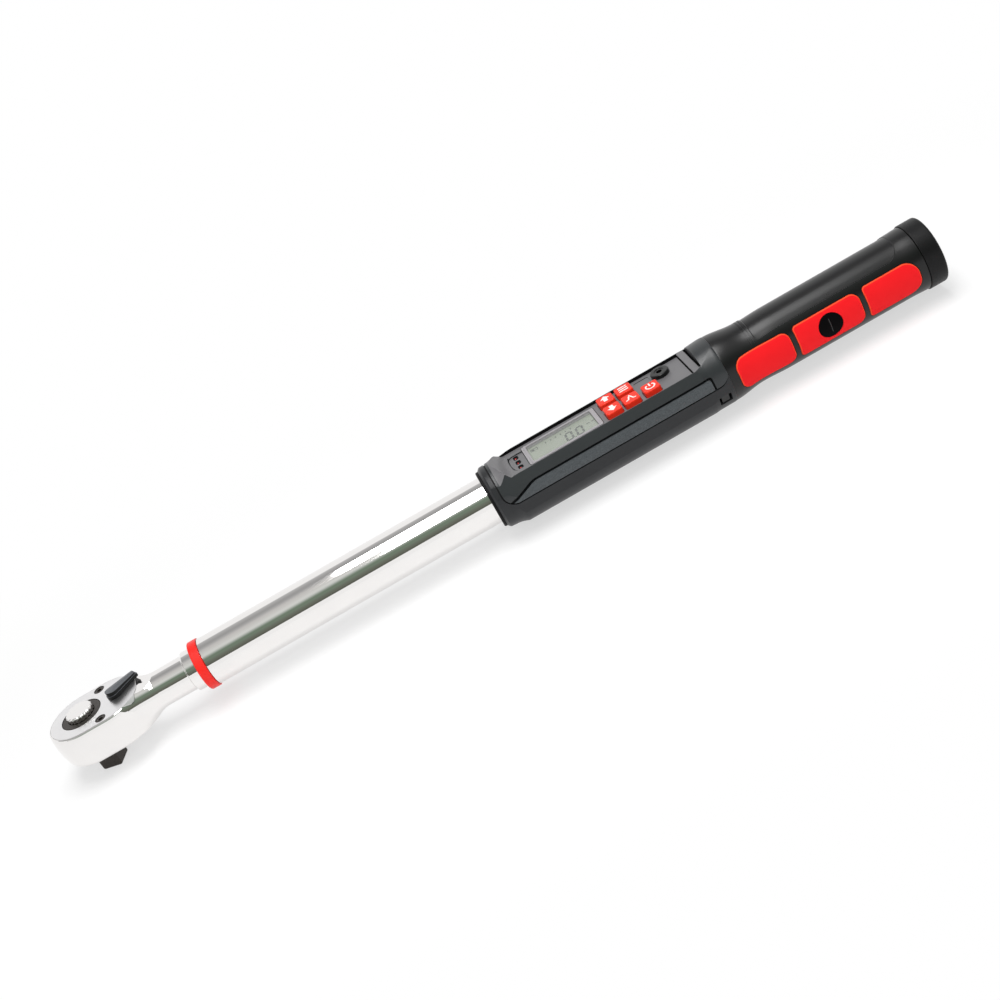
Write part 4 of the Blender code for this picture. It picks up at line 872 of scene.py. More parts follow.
def lever_outline(inset):
    """Plan of the lever along X: round about its pivot, narrowing to a blunt tip."""
    corner = 0.9
    base = LEVER_BASE - inset
    reach = LEVER_REACH - 1.5 * inset
    lean = math.degrees(math.asin((LEVER_BASE - LEVER_TIP) / LEVER_REACH))
    tip = (reach - corner, LEVER_TIP - inset - corner)
    outline = circle((0, 0), base, 40, 90 - lean, 270 + lean)
    outline += circle((tip[0], -tip[1]), corner, 6, -90 + lean, 0)
    return outline + circle(tip, corner, 6, 0, 90 - lean)


def make_lever():
    """A stepped lever with two facets that fall from a ridge, and a round pivot on its base."""
    low = HEAD_TOP + GAP
    high = low + LEVER_HEIGHT
    blade = slab(lever_outline(0.5), low + 1, high)
    beyond = LEVER_REACH + 1
    falling = [(LEVER_PIVOT, high), (beyond, high - LEVER_FALL), (beyond, FAR), (LEVER_PIVOT, FAR)]
    blade = cut(blade, slab(falling, -FAR, FAR, SIDE_VIEW))
    tilt = math.atan2(LEVER_FALL, LEVER_REACH - LEVER_PIVOT)
    for side in (-1, 1):
        crest = high - LEVER_FALL
        facet = [(side * LEVER_RIDGE, crest), (side * FAR, crest - LEVER_FACET * FAR)]
        facet += [(side * FAR, FAR), (side * LEVER_RIDGE, FAR)]
        wedge = moved(slab(facet, -FAR, FAR, END_VIEW), Matrix.Translation((LEVER_REACH, 0, 0)))
        hinge = (LEVER_REACH, 0, high - LEVER_FALL)
        bmesh.ops.rotate(wedge, cent=hinge, matrix=Matrix.Rotation(tilt, 3, "Y"), verts=wedge.verts[:])
        blade = cut(blade, wedge)

    def upper_edge(edge):
        return edge.calc_face_angle(0) > 0.35 and min(vert.co.z for vert in edge.verts) > low + 1.1

    softened(blade, upper_edge, 0.3, 2)
    base = slab(lever_outline(0.0), low, low + LEVER_STEP)
    softened(base, level(low + LEVER_STEP), 0.3, 2)
    pivot_high = high - 0.15
    pivot_low = low + 1.5
    pivot = [
        (pivot_low, 0, 0),
        (pivot_low, LEVER_PIVOT, 0),
        (pivot_high, LEVER_PIVOT, 0.5),
        (pivot_high, 0, 0),
    ]
    foot = span("reversing_lever")[0].z
    shaft = [(foot, 0), (foot, 3.4), (low + 1, 3.4), (low + 1, 0)]
    lever = joined(base, blade, turned(filleted(pivot, 4), 40, UPRIGHT), turned(shaft, 48, UPRIGHT))
    # Painted light and shade: faces that look up take the lighter grey and the rest black, on a lever of
    # one dark material.
    for face in lever.faces:
        face.material_index = 0 if face.normal.z > 0.45 else 1
    looks = (LEVER_LIT_TOP, BLACK_PLASTIC)
    piece("flip_lever", moved(lever, LEVER_TURN), looks, "gunmetal", "reversing_lever", body="lever")


make_head()
make_cover_plate()
make_cover_screws()
make_drive()
make_button()
make_release_spring()
make_lever()


# Marker ring, tube and seal

RING_EDGES = (0.8, 0.3)
SEAL_EDGES = (0.8, 0.2)


def ring_between(node, bore, edges, moved_ends=(0.0, 0.0), count=5):
    """A plain ring in a node's place, with its outer edges rounded."""
    low, high = span(node)
    radius = (high.y - low.y) / 2
    front = low.x + moved_ends[0]
    rear = high.x + moved_ends[1]
    corners = [(front, bore, 0), (front, radius, edges[0]), (rear, radius, edges[1]), (rear, bore, 0)]
    return turned(filleted(corners, count), 160)


def make_barrel():
    tube_low, tube_high = span("barrel_tube")
    tube_radius = -tube_low.z
    red_ring = ring_between("marker_ring", 12.3, RING_EDGES, (COLLAR_END - span("marker_ring")[0].x, 0.0))
    piece("ring_red", red_ring, RING_RED, "red_plastic", "marker_ring")
    corners = [
        (tube_low.x, 12.3, 0),
        (tube_low.x, tube_radius, 0.15),
        (tube_high.x, tube_radius, 0.4),
        (tube_high.x, 12.3, 0),
    ]
    tube = turned(filleted(corners), 192)
    board_low = span("circuit_board")[0].z
    window = rounded_box(((272.0 + 398.0) / 2, 0), (126.0, 2 * FAR), 2.0)
    tube = cut(tube, slab(window, board_low - GAP, FAR))
    piece("chrome_tube", tube, CHROME, "polished_chrome", "barrel_tube", crease=16)
    seal = ring_between("front_seal", tube_radius + 0.02, SEAL_EDGES, (0.7, GAP))
    piece("tube_seal", seal, BLACK_RUBBER, "black_rubber", "front_seal")


make_barrel()


# Housing

SHELL_FRONT = 266.0
SHELL_REAR = 408.0
PANEL_FRONT = 279.0
PANEL_END = 392.0
STEP_END = 398.0
STRIP_END = 397.3
STRIP_RISE = 0.7
PANEL_GAP = 0.6
STRIP_GAP = 1.2
STRIP_ACROSS = 28.6
DOME_MIDDLE = -4.85
DOME_RADIUS = 24.4
DOME_RISE = 0.085
PANEL_Z = 12.4
PANEL_UNDER = 10.9
PANEL_HALF = 14.8
RIM_Z = 13.95
RIM_HALF = 16.2
SHOULDER_HALF = 19.9
SHOULDER_Z = 7.7
SIDE_SWELL = (20.75, 3.7)
BLANK_TOP = 21.5
PARTING_Z = 0.3
HOUSING_RADIUS = 20.9
NOSE_FIT = 19.3
HOUSING_ENVELOPE = 23.5
REAR_RADIUS = 20.6
SLEEVE_BORE = 17.8
RECESS_SLOPE = 0.6
RECESS_INSET = 0.8
BEZEL_SPOT = (311.95, 0.0)
BEZEL_SIZE = (46.9, 24.4)
WINDOW_SIZE = (41.0, 20.0)
LAMP_X = 283.4
LAMP_HOLE = (3.2, 4.8)
LAMP_DOME = 0.5
LAMP_ARC = ((279.4, 9.4), (278.7, 5.0), (278.6, 0.0), (279.1, -5.0), (280.6, -9.6))
LAMP_SPOTS = {1: (LAMP_X, -6.2), 2: (LAMP_X, 0.0), 3: (LAMP_X, 6.2)}
KEY_SIZE = (10.0, 10.2)
LEGEND_LINE = 0.9
KEY_SPOTS = {
    "key_up": (343.6, 7.0),
    "key_down": (343.6, -7.0),
    "key_mode": (355.2, 7.0),
    "key_peak": (355.2, -7.0),
    "key_power": (368.0, -7.0),
}
JACK_SPOT = (377.8, 6.0)
BLANK_KEY = (366.6, 7.0)
HOUSING_SCREWS = {1: (282.0, -16.8), 2: (282.0, 16.8), 3: (386.0, -16.8), 4: (386.0, 16.8)}
NOSE_FRONT = span("nose_ring")[0].x
NOSE_EDGE = 17.5
NOSE_RADIUS = 19.0
SHELL_BORE = 14.6
SEAM = 0.8
TONGUE_RADIUS = 18.6
TONGUE_END = 267.2
FACET_DEPTH = 18.35
FACET_END = 284.0
CHINE = (19.5, -7.9)
CORNER_FRONT = 6.5
CORNER_REAR = 8.0
BAND_RADIUS = 19.2
BAND_LEAST = 18.4
BAND_FRONT = 267.6
BAND_REAR = 399.0
BAND_POINT = 17.0
GROOVE_WIDTH = 1.2
BAND_TOP = SHOULDER_Z + 0.5
LATCH_X = 401.5
LATCH_SIZE = (4.6, 5.2)
LATCH_WINDOW = (7.6, 6.4)
LATCH_ANGLE = math.radians(-27.0)


def housing_section():
    """Round below with a soft chine, swelling at the sides, with sloping shoulders above."""
    slope = (SHOULDER_HALF - RIM_HALF) / (RIM_Z - SHOULDER_Z)
    top_half = RIM_HALF - slope * (BLANK_TOP - RIM_Z)
    start = math.degrees(math.atan2(CHINE[1], CHINE[0]))
    below = circle((0, 0), math.hypot(*CHINE), 60, start, -180 - start)
    near = [
        (top_half, BLANK_TOP, 0),
        (SHOULDER_HALF, SHOULDER_Z, 0.5),
        (*SIDE_SWELL, 6.0),
        (HOUSING_RADIUS, PARTING_Z, 0),
    ]
    far = [(-y, z, radius) for y, z, radius in near[::-1]]
    return filleted(near + [(y, z, 0) for y, z in below] + far, 8)


def nose_facet(side):
    """What is cut from one side of the nose so that the shoulder's plane runs on to its front."""
    lean = math.atan2(SHOULDER_HALF - RIM_HALF, RIM_Z - SHOULDER_Z)
    depth = RIM_HALF * math.cos(lean) + RIM_Z * math.sin(lean)
    front = NOSE_FRONT - 1
    wedge = [(front, FACET_DEPTH), (FACET_END, depth), (FACET_END, FAR), (front, FAR)]
    return moved(slab(wedge, -FAR, FAR, SIDE_VIEW), Matrix.Rotation(-side * (math.pi / 2 - lean), 4, "X"))


def housing_blank():
    corners = [
        (NOSE_FRONT, 0, 0),
        (NOSE_FRONT, NOSE_EDGE, 0.7),
        (NOSE_FRONT + 1.5, NOSE_RADIUS, 1.4),
        (SHELL_FRONT, NOSE_FIT, 0),
    ]
    nose = filleted(corners)
    rise = eased(SHELL_FRONT, SHELL_FRONT + 16, NOSE_FIT, HOUSING_ENVELOPE, 20)
    fallen = STRIP_END + 1.7
    fall = eased(PANEL_END - 12, fallen, HOUSING_ENVELOPE, REAR_RADIUS + 0.1, 24)
    fall = fall + eased(fallen, SHELL_REAR - 0.6, REAR_RADIUS + 0.1, REAR_RADIUS, 6)[1:]
    line = nose + rise[1:] + fall + [(SHELL_REAR, REAR_RADIUS - 0.3), (SHELL_REAR, 0)]
    blank = within(slab(housing_section(), NOSE_FRONT - 1, SHELL_REAR + 1, END_VIEW), turned(line, 192))
    blank = cut(blank, nose_facet(-1), nose_facet(1))
    bore = [
        (NOSE_FRONT - 1, 0),
        (NOSE_FRONT - 1, SHELL_BORE),
        (STEP_END + 0.7, SHELL_BORE),
        (STEP_END + 0.7, SLEEVE_BORE),
        (FAR + SHELL_REAR, SLEEVE_BORE),
        (FAR + SHELL_REAR, 0),
    ]
    return blank, bore


def upper_region(grow=0.0):
    """Side view of the upper shell: a straight parting line whose ends curve up round the housing."""
    front = SHELL_FRONT - grow
    rear = SHELL_REAR + 1
    low = PARTING_Z - grow
    corners = [
        (front, low, CORNER_FRONT + grow),
        (rear, low, CORNER_REAR + grow),
        (rear, FAR, 0),
        (front, FAR, 0),
    ]
    return slab(filleted(corners, 12), -FAR, FAR, SIDE_VIEW)


def tongue(grow=0.0):
    """Lip of the nose that fills the foot of the seam under the upper shell."""
    outer = TONGUE_RADIUS + grow
    inner = SHELL_BORE - grow
    rear = TONGUE_END + grow
    front = SHELL_FRONT - 2
    return turned([(front, inner), (front, outer), (rear, outer), (rear, inner)], 128)


SCOOP_FRONT = SHELL_FRONT + 1.5
SCOOP_REAR = SHELL_FRONT + 12
SCOOP_TOP = 19.8


def top_line(floor, behind, inset=0.0):
    """Side view of what is scooped from the top: a curved scoop, a floor and what lies behind it."""
    front = SCOOP_FRONT + inset
    scoop = eased(front, SCOOP_REAR, SCOOP_TOP, floor, 24)
    return scoop + behind + [(behind[-1][0], FAR), (front, FAR)]


def panel_recess():
    """What is cut out above the panel, between walls that lean outwards."""
    low = PANEL_Z - 1
    high = low + BLANK_TOP
    low_half = PANEL_HALF - RECESS_SLOPE
    high_half = low_half + RECESS_SLOPE * BLANK_TOP
    corners = [(-low_half, low), (low_half, low), (high_half, high), (-high_half, high)]
    recess = slab(corners, SHELL_FRONT, SHELL_REAR, END_VIEW)
    length = top_line(PANEL_Z, [(PANEL_END, PANEL_Z)], RECESS_INSET)
    return within(recess, slab(length, -FAR, FAR, SIDE_VIEW))


def gap_block(rear, width, across, low, high):
    """The cutter for a straight gap across the top of the housing, with its rear wall at rear."""
    return slab(rounded_box((rear - width / 2, 0), (width, across), 0.1), low, high)


def rear_dome():
    """What is cut from the top behind the strip, leaving a low dome that rises to the handle."""
    front = STRIP_END - 0.5
    arc = circle((0, DOME_MIDDLE), DOME_RADIUS, 48, 30, 150)
    frame_line = [(-FAR, arc[-1][1]), (-FAR, FAR), (FAR, FAR), (FAR, arc[0][1])]
    above = slab(arc + frame_line, front, SHELL_REAR + 1, END_VIEW)
    rising = Matrix.Identity(4)
    rising[2][0] = DOME_RISE
    rising[2][3] = -DOME_RISE * STRIP_END
    return moved(above, rising)


def latch_bar(side, size, inner, outer):
    low, high = sorted((side * inner, side * outer))
    bar = slab(rounded_box((0, 0), size, 0.4), low, high, SIDE_VIEW)
    return moved(bar, Matrix.Rotation(side * LATCH_ANGLE, 4, "X") @ Matrix.Translation((LATCH_X, 0, 0)))


def band_outline(inset):
    """Side view of the textured band: pointed in front, square behind."""
    front = BAND_FRONT + inset
    rear = BAND_REAR - inset
    high = BAND_TOP - inset
    corners = [
        (front, -FAR, 0),
        (rear, -FAR, 0),
        (rear, high, 1.5),
        (front + BAND_POINT, high, 12.0),
        (front, 1.5 - inset, 0),
    ]
    return filleted(corners, 8)


def band_line(side):
    """The fine groove that frames the band on one side."""
    low, high = sorted((side * 10.0, side * FAR))
    core = [(NOSE_FRONT, 0), (NOSE_FRONT, BAND_RADIUS), (SHELL_REAR + 1, BAND_RADIUS), (SHELL_REAR + 1, 0)]
    frame_block = cut(
        slab(band_outline(0.0), low, high, SIDE_VIEW),
        slab(band_outline(GROOVE_WIDTH), low - 1, high + 1, SIDE_VIEW),
    )
    return cut(frame_block, turned(core, 160))


def in_scoop(point):
    """Whether a point lies on the scoop in front of the panel."""
    return SCOOP_FRONT < point.x < PANEL_FRONT and point.z > 10 and abs(point.y) < 16


def paint_upper_shell(shell):
    """Gives the band and the panel's top and strip their own finishes, and paints light and shade: painted
    shade in black in the band's groove, on the far inner wall of the recess and on the floors of the gaps
    behind the panel, and the scoop's upward faces in the panel's grey, partly as painted light.
    """
    textured, grey, groove_shade, painted_shade = range(1, 5)
    band = band_outline(GROOVE_WIDTH)
    for face in shell.faces:
        middle = face.calc_center_median()
        upward = face.normal.z > 0.9
        on_band = BAND_FRONT < middle.x < BAND_REAR and middle.z < BAND_TOP
        on_band = on_band and abs(face.normal.y) > 0.8
        # Painted shade: the floor of the band's groove is black, for the shade that falls in the groove.
        if on_band and abs(math.hypot(middle.y, middle.z) - BAND_RADIUS) < 0.05:
            face.material_index = groove_shade
        elif on_band and abs(middle.y) > BAND_LEAST and inside(band, middle.x, middle.z):
            face.material_index = textured
        # The scoop's upward faces take the panel grey: partly the panel's own plastic carried forward,
        # partly painted light on faces turned up to the lamps.
        elif in_scoop(middle) and face.normal.z > 0.55:
            face.material_index = grey
        elif upward and abs(middle.z - PANEL_Z) < 0.8 and 270 < middle.x < PANEL_END - PANEL_GAP:
            face.material_index = grey
        # Painted shade: the far inner wall of the panel recess is black, for the shade that falls on it.
        elif middle.z > PANEL_Z - 0.5 and middle.y > 10 and face.normal.y < -0.4:
            face.material_index = painted_shade
        elif upward and PANEL_END < middle.x < STRIP_END - STRIP_GAP and middle.z > PANEL_Z:
            face.material_index = grey
        # Painted shade: the floors of the two gaps behind the panel are black, for the shade in them.
        elif upward and STRIP_END - STRIP_GAP < middle.x < STRIP_END and middle.z < RIM_Z:
            face.material_index = painted_shade
        elif upward and PANEL_END - PANEL_GAP < middle.x < PANEL_END and middle.z < PANEL_Z:
            face.material_index = painted_shade


def make_upper_shell():
    blank, bore = housing_blank()
    strip = [(PANEL_END, RIM_Z), (STRIP_END, RIM_Z + STRIP_RISE)]
    shell = cut(
        within(blank, upper_region()),
        slab(top_line(RIM_Z, strip), -FAR, FAR, SIDE_VIEW),
        panel_recess(),
        gap_block(PANEL_END, PANEL_GAP, 2 * PANEL_HALF, PANEL_Z - 0.6, FAR),
        gap_block(STRIP_END, STRIP_GAP, STRIP_ACROSS, RIM_Z - 0.8, RIM_Z + 2),
    )
    ceiling = slab(rounded_box((335.15, 0), (125.1, 2 * FAR), 1), PANEL_UNDER, FAR)
    shell = cut(shell, cut(turned(bore, 96), ceiling), tongue(GAP))
    shell = cut(shell, slab(rounded_box((332.6, 0), (110.4, 26.0), 1), 0, PANEL_UNDER))
    shell = cut(shell, band_line(-1), band_line(1))
    shell = cut(shell, rear_dome())
    through = (PANEL_UNDER - 1, PANEL_Z + 1)
    lamp_recess = [(278.4, -9.2, 4.0), (288.2, -9.2, 0.8), (288.2, 9.2, 0.8), (278.4, 9.2, 4.0)]
    shell = cut(
        shell,
        slab(rounded_box(BEZEL_SPOT, BEZEL_SIZE, 1.5, GAP), *through),
        slab(filleted(lamp_recess, 8), PANEL_Z - 0.7, PANEL_Z + 1),
        slab(stroke(LAMP_ARC, 0.7), PANEL_Z - 1.3, PANEL_Z + 2),
        *(slab(rounded_box(spot, LAMP_HOLE, 1.4), *through) for spot in LAMP_SPOTS.values()),
        *(slab(rounded_box(spot, KEY_SIZE, 1.4, GAP), *through) for spot in KEY_SPOTS.values()),
        slab(rounded_box(BLANK_KEY, (9.4, 9.6), 1.2), PANEL_Z - 0.3, PANEL_Z + 1),
        rod(3.7, *through, JACK_SPOT, 48),
        *(rod(1.4, -FAR, 6.3, spot, 24) for spot in HOUSING_SCREWS.values()),
    )
    paint_upper_shell(shell)
    # The black rubber and the disc black on this shell are painted shade in the groove, on the far wall and
    # in the gaps.
    looks = (CHARCOAL, CHARCOAL_BAND, PANEL_GREY, BLACK_RUBBER, DISC_BLACK)
    piece("upper_shell", shell, looks, "charcoal_plastic", "housing_upper")


def make_lower_shell():
    blank, bore = housing_blank()
    shell = cut(
        blank,
        upper_region(SEAM),
        turned(bore, 96),
        *(rod(2.2, -8.2, -6.0, spot, 40) for spot in HOUSING_SCREWS.values()),
        *(rod(1.4, -7.0, FAR, spot, 24) for spot in HOUSING_SCREWS.values()),
        *(latch_bar(side, LATCH_WINDOW, 14.3, FAR) for side in (-1, 1)),
    )
    shell = joined(shell, tongue())
    # Painted shade: the tongue's faces inside the seam between the shells are black rubber, for the shade
    # in the seam.
    for face in shell.faces:
        middle = face.calc_center_median()
        in_seam_shade = SHELL_FRONT - SEAM - 0.1 < middle.x < TONGUE_END + 0.1 and abs(face.normal.x) < 0.5
        face.material_index = 1 if in_seam_shade and math.hypot(middle.y, middle.z) < TONGUE_RADIUS + 0.05 else 0
    looks = (LOWER_BLACK, BLACK_RUBBER)
    piece("lower_shell", shell, looks, "charcoal_plastic", "housing_lower", "nose_ring")
    for number, spot in HOUSING_SCREWS.items():
        low, high = span(f"housing_screw_{number}")
        corners = [
            (low.z, 0, 0),
            (low.z, 1.9, 0.3),
            (-6.3, 1.9, 0),
            (-6.3, 1.1, 0),
            (high.z, 1.1, 0.2),
            (high.z, 0, 0),
        ]
        screw = turned(filleted(corners, 3), 32, Matrix.Translation((*spot, 0)))
        slots = []
        for size in ((2.4, 0.5), (0.5, 2.4)):
            slots.append(slab(rounded_box(spot, size, 0.1), low.z - 1, low.z + 0.7))
        node = f"housing_screw_{number}"
        piece(f"shell_screw_{number}", cut(screw, *slots), BLACK_STEEL, "black_steel", node)


# Display, lamps, keys and jack

CELL_TOP = 10.6
INK_TOP = 10.66
FIGURE_BAR = 1.35
FIGURE_LEAN = 0.06
FIGURE_SIZE = (5.0, 10.6)
FIGURE_LOW = -6.3
FIGURE_LEFTS = (312.8, 319.6)
FIGURE_POINT = (318.5, -5.8)
BATTERY_MARK = (294.8, 6.2)
TICK_MARKS = [(302.5 + 3.2 * step, 6.6) for step in range(6)]
DASH_MARKS = ((328.4, 1.6), (331.6, 1.6))


def segments(left, low, width, height, shown):
    """Bars of one seven-bar figure; shown names them a to g from the top bar clockwise, g in the middle."""
    bar = FIGURE_BAR
    gap = 0.2
    half = height / 2

    def lying(level_v):
        v = min(max(level_v, bar / 2), height - bar / 2)
        ends = (bar / 2 + gap, width - bar / 2 - gap)
        return [
            (ends[0], v),
            (ends[0] + bar / 2, v + bar / 2),
            (ends[1] - bar / 2, v + bar / 2),
            (ends[1], v),
            (ends[1] - bar / 2, v - bar / 2),
            (ends[0] + bar / 2, v - bar / 2),
        ]

    def standing(u, v0, v1):
        u = min(max(u, bar / 2), width - bar / 2)
        v0 = max(v0, bar / 2) + gap
        v1 = min(v1, height - bar / 2) - gap
        return [
            (u, v0),
            (u + bar / 2, v0 + bar / 2),
            (u + bar / 2, v1 - bar / 2),
            (u, v1),
            (u - bar / 2, v1 - bar / 2),
            (u - bar / 2, v0 + bar / 2),
        ]

    bars = {
        "a": lying(height),
        "b": standing(width, half, height),
        "c": standing(width, 0, half),
        "d": lying(0),
        "e": standing(0, 0, half),
        "f": standing(0, half, height),
        "g": lying(half),
    }
    return [[(left + u + FIGURE_LEAN * v, low + v) for u, v in bars[letter]] for letter in shown]


def inked(outlines, low, high):
    """Several flat outlines raised together."""
    work = bmesh.new()
    for outline in outlines:
        base = work.faces.new([work.verts.new((*point, low)) for point in outline])
        lifted = bmesh.ops.extrude_face_region(work, geom=[base])["geom"]
        verts = [part for part in lifted if isinstance(part, bmesh.types.BMVert)]
        bmesh.ops.translate(work, vec=(0, 0, high - low), verts=verts)
    bmesh.ops.recalc_face_normals(work, faces=work.faces[:])
    return work


def make_display():
    high = PANEL_Z + 0.3
    frame_bar = slab(rounded_box(BEZEL_SPOT, BEZEL_SIZE, 1.5), PANEL_UNDER, high)
    softened(frame_bar, level(high), 0.3, 2)
    opening = slab(rounded_box(BEZEL_SPOT, WINDOW_SIZE, 0.75, GAP), PANEL_UNDER - 1, high + 1)
    front_line = slab(rounded_box((BEZEL_SPOT[0] - 22.1, 0), (0.35, 30.0), 0.1), high - 0.35, high + 1)
    piece("display_frame", cut(frame_bar, opening, front_line), BEZEL_GREY, "grey_plastic", "display_bezel")
    pane = slab(rounded_box(BEZEL_SPOT, WINDOW_SIZE, 0.75), PANEL_UNDER, PANEL_UNDER + 1.2)
    softened(pane, level(PANEL_UNDER + 1.2), 0.2, 2)
    piece("display_pane", pane, DISPLAY_GLASS, "display_glass", "display_window")
    cell_low, cell_high = span("lcd_module")
    size = (cell_high.x - cell_low.x, cell_high.y - cell_low.y)
    cell = slab(rounded_box(BEZEL_SPOT, size, 0.4), cell_low.z, cell_high.z)
    softened(cell, level(cell_high.z), 0.2, 2)
    piece("display_cell_plate", cell, DISPLAY_CELL, "display_cell", "lcd_module")
    ink = [circle(FIGURE_POINT, 0.5, 12)]
    for left in FIGURE_LEFTS:
        ink += segments(left, FIGURE_LOW, *FIGURE_SIZE, "abcdef")
    u, v = BATTERY_MARK
    ink += [rounded_box((u, v + side), (4.4, 0.4), 0.1) for side in (-1.2, 1.2)]
    ink += [rounded_box((u + side, v), (0.4, 2.0), 0.1) for side in (-2.0, 2.0)]
    ink += [rounded_box((u + 2.5, v), (0.4, 1.0), 0.1), rounded_box((u - 0.7, v), (1.6, 1.4), 0.1)]
    ink += [rounded_box(spot, (0.6, 1.6), 0.15) for spot in TICK_MARKS]
    ink += [rounded_box(spot, (2.0, 0.7), 0.15) for spot in DASH_MARKS]
    piece("display_figures", inked(ink, CELL_TOP + 0.01, INK_TOP), DISPLAY_INK, "display_cell")


def make_lamps():
    """Small red domes, each in a black oval well."""
    for number, spot in LAMP_SPOTS.items():
        low = span(f"indicator_led_{number}")[0].z
        floor = PANEL_Z - 1.3
        well = slab(rounded_box(spot, LAMP_HOLE, 1.4, -0.02), low, floor)
        dome = [(floor + rise, radius) for radius, rise in circle((0, 0), LAMP_DOME, 8, 0, 90)]
        profile = [(floor - 0.3, 0), (floor - 0.3, LAMP_DOME)] + dome[:-1] + [(floor + LAMP_DOME, 0)]
        lamp = joined(well, turned(profile, 32, Matrix.Translation((spot[0] - 0.3, spot[1], 0))))
        for face in lamp.faces:
            middle = face.calc_center_median()
            face.material_index = 1 if middle.z > floor + 0.01 else 0
        piece(f"lamp_{number}", lamp, (BLACK_RUBBER, LAMP_RED), "lamp_red", f"indicator_led_{number}")


def legend_outlines(name):
    """White mark of a key, seen with the handle to the right."""
    if name in ("key_up", "key_down"):
        way = 1 if name == "key_up" else -1
        arrow = [(-1.25, -3.1), (1.25, -3.1), (1.25, 0.1), (2.9, 0.1), (0, 3.5), (-2.9, 0.1), (-1.25, 0.1)]
        return [[(way * u, way * v) for u, v in arrow]]
    if name == "key_mode":
        return [rounded_box((0, v), (5.6, 1.05), 0.3) for v in (-2.3, 0, 2.3)]
    if name == "key_peak":
        peak = [(-3.1, -2.4), (-1.5, -2.0), (-0.6, 0.9), (0, 2.8), (0.6, 0.9), (1.5, -2.0), (3.1, -2.4)]
        return [stroke(peak, LEGEND_LINE)]
    ring = stroke(circle((0, -0.4), 2.7, 28, 125, 415), LEGEND_LINE)
    return [ring, rounded_box((0, 1.7), (LEGEND_LINE, 3.6), 0.3)]


def make_keys():
    flange_high = PANEL_UNDER - GAP
    flange_low = flange_high - 1.2
    for name, spot in KEY_SPOTS.items():
        low, high = span(name)
        cap = slab(rounded_box(spot, KEY_SIZE, 1.4, count=8), flange_high - 0.4, high.z)
        softened(cap, level(high.z), 0.8, 5)
        flange = slab(rounded_box(spot, KEY_SIZE, 1.4, 0.55), flange_low, flange_high)
        stem = slab(rounded_box(spot, (3.0, 3.0), 0.3), low.z, flange_low + 0.4)
        piece(f"{name}_cap", joined(cap, flange, stem), KEY_RED, "red_plastic", name, body=name)
        marks = [[(spot[0] + u, spot[1] + v) for u, v in outline] for outline in legend_outlines(name)]
        mark = inked(marks, high.z - 0.05, high.z + 0.04)
        piece(f"{name}_mark", mark, LEGEND_WHITE, "grey_plastic", body=name)


def make_jack():
    low, high = span("data_jack")
    flange = PANEL_Z + GAP
    corners = [
        (low.z, 1.75, 0),
        (low.z, 3.4, 0),
        (flange, 3.4, 0),
        (flange, 5.65, 0.15),
        (high.z, 5.65, 0.7),
        (high.z, 3.1, 0.2),
        (high.z - 0.4, 2.9, 0.1),
        (high.z - 0.4, 1.75, 0.15),
    ]
    socket = turned(filleted(corners, 5), 80, Matrix.Translation((*JACK_SPOT, 0)))
    piece("round_socket", socket, BLACK_PLASTIC, "black_plastic", "data_jack")


make_upper_shell()
make_lower_shell()
make_display()
make_lamps()
make_keys()
make_jack()


# Handle, pads and end cap

HANDLE_FRONT = 408.3
HANDLE_SEAM = 408.05
RIDGE_ENDS = (430.3, 524.8)
RIDGE_HALF = 15.2
HANDLE_BORE = 14.6
HANDLE_SPIGOT = 17.5
RIDGE_SUNK = 0.45
RIDGE_CORNERS = (2.5, 9.0)
GROOVE_PLACES = (427.6, 429.4)
RING_GROOVE = (0.45, 0.4)
HANDLE_REAR = 533.8
PAD_FRONTS = (413.4, 451.1, 495.4)
PAD_LENGTHS = (34.5, 41.1, 33.6)
PAD_LOW = -11.2
PAD_HIGH = 8.7
PAD_CORNERS = ((5.8, 4.6), (2.2, 5.2), (2.2, 8.2))
PAD_DEPTH = 2.0
PAD_PROUD = 0.4
# Width of the painted highlight along each pad's edge.
RIM_HIGHLIGHT_WIDTH = 0.5
CAP_FRONT = 534.1
CAP_RADIUS = 20.2
CAP_SPIGOT = 12.0
DISC_RADIUS = 7.2
DISC_PROUD = 0.5
DISC_SPOT = (PAD_FRONTS[1] + PAD_LENGTHS[1] / 2, (PAD_LOW + PAD_HIGH) / 2)
HANDLE_LINE = (
    eased(HANDLE_FRONT, 427.3, 20.4, 18.5, 20)
    + eased(427.3, 444.3, 18.5, 19.1, 14)[1:]
    + eased(521.8, HANDLE_REAR, 19.1, 19.5, 10)
)


def handle_radius(x):
    """Radius of the plain handle at a place along it."""
    if x <= HANDLE_LINE[0][0]:
        return HANDLE_LINE[0][1]
    for (x0, r0), (x1, r1) in zip(HANDLE_LINE, HANDLE_LINE[1:]):
        if x <= x1:
            return r0 + (r1 - r0) * (x - x0) / (x1 - x0)
    return HANDLE_LINE[-1][1]


def gridded(work, low, high, step):
    """Adds evenly spaced cuts across a flat shape, so that it can be bent."""
    for axis in (0, 1):
        count = max(1, round((high[axis] - low[axis]) / step))
        for index in range(1, count):
            normal = Vector((1 - axis, axis, 0))
            place = Vector((0, 0, 0))
            place[axis] = low[axis] + (high[axis] - low[axis]) * index / count
            geom = work.verts[:] + work.edges[:] + work.faces[:]
            bmesh.ops.bisect_plane(work, geom=geom, dist=WELD, plane_co=place, plane_no=normal)
    return work


def wrapped(work, side):
    """Bends a flat shape of (along, across, above) onto the handle: side -1 or 1, or 0 for its top."""
    for vert in work.verts:
        x, across, above = vert.co
        radius = handle_radius(x) + above
        reach = math.sqrt(max(radius * radius - across * across, 0.01))
        vert.co = (x, side * reach, across) if side else (x, across, reach)
    bmesh.ops.recalc_face_normals(work, faces=work.faces[:])
    return work


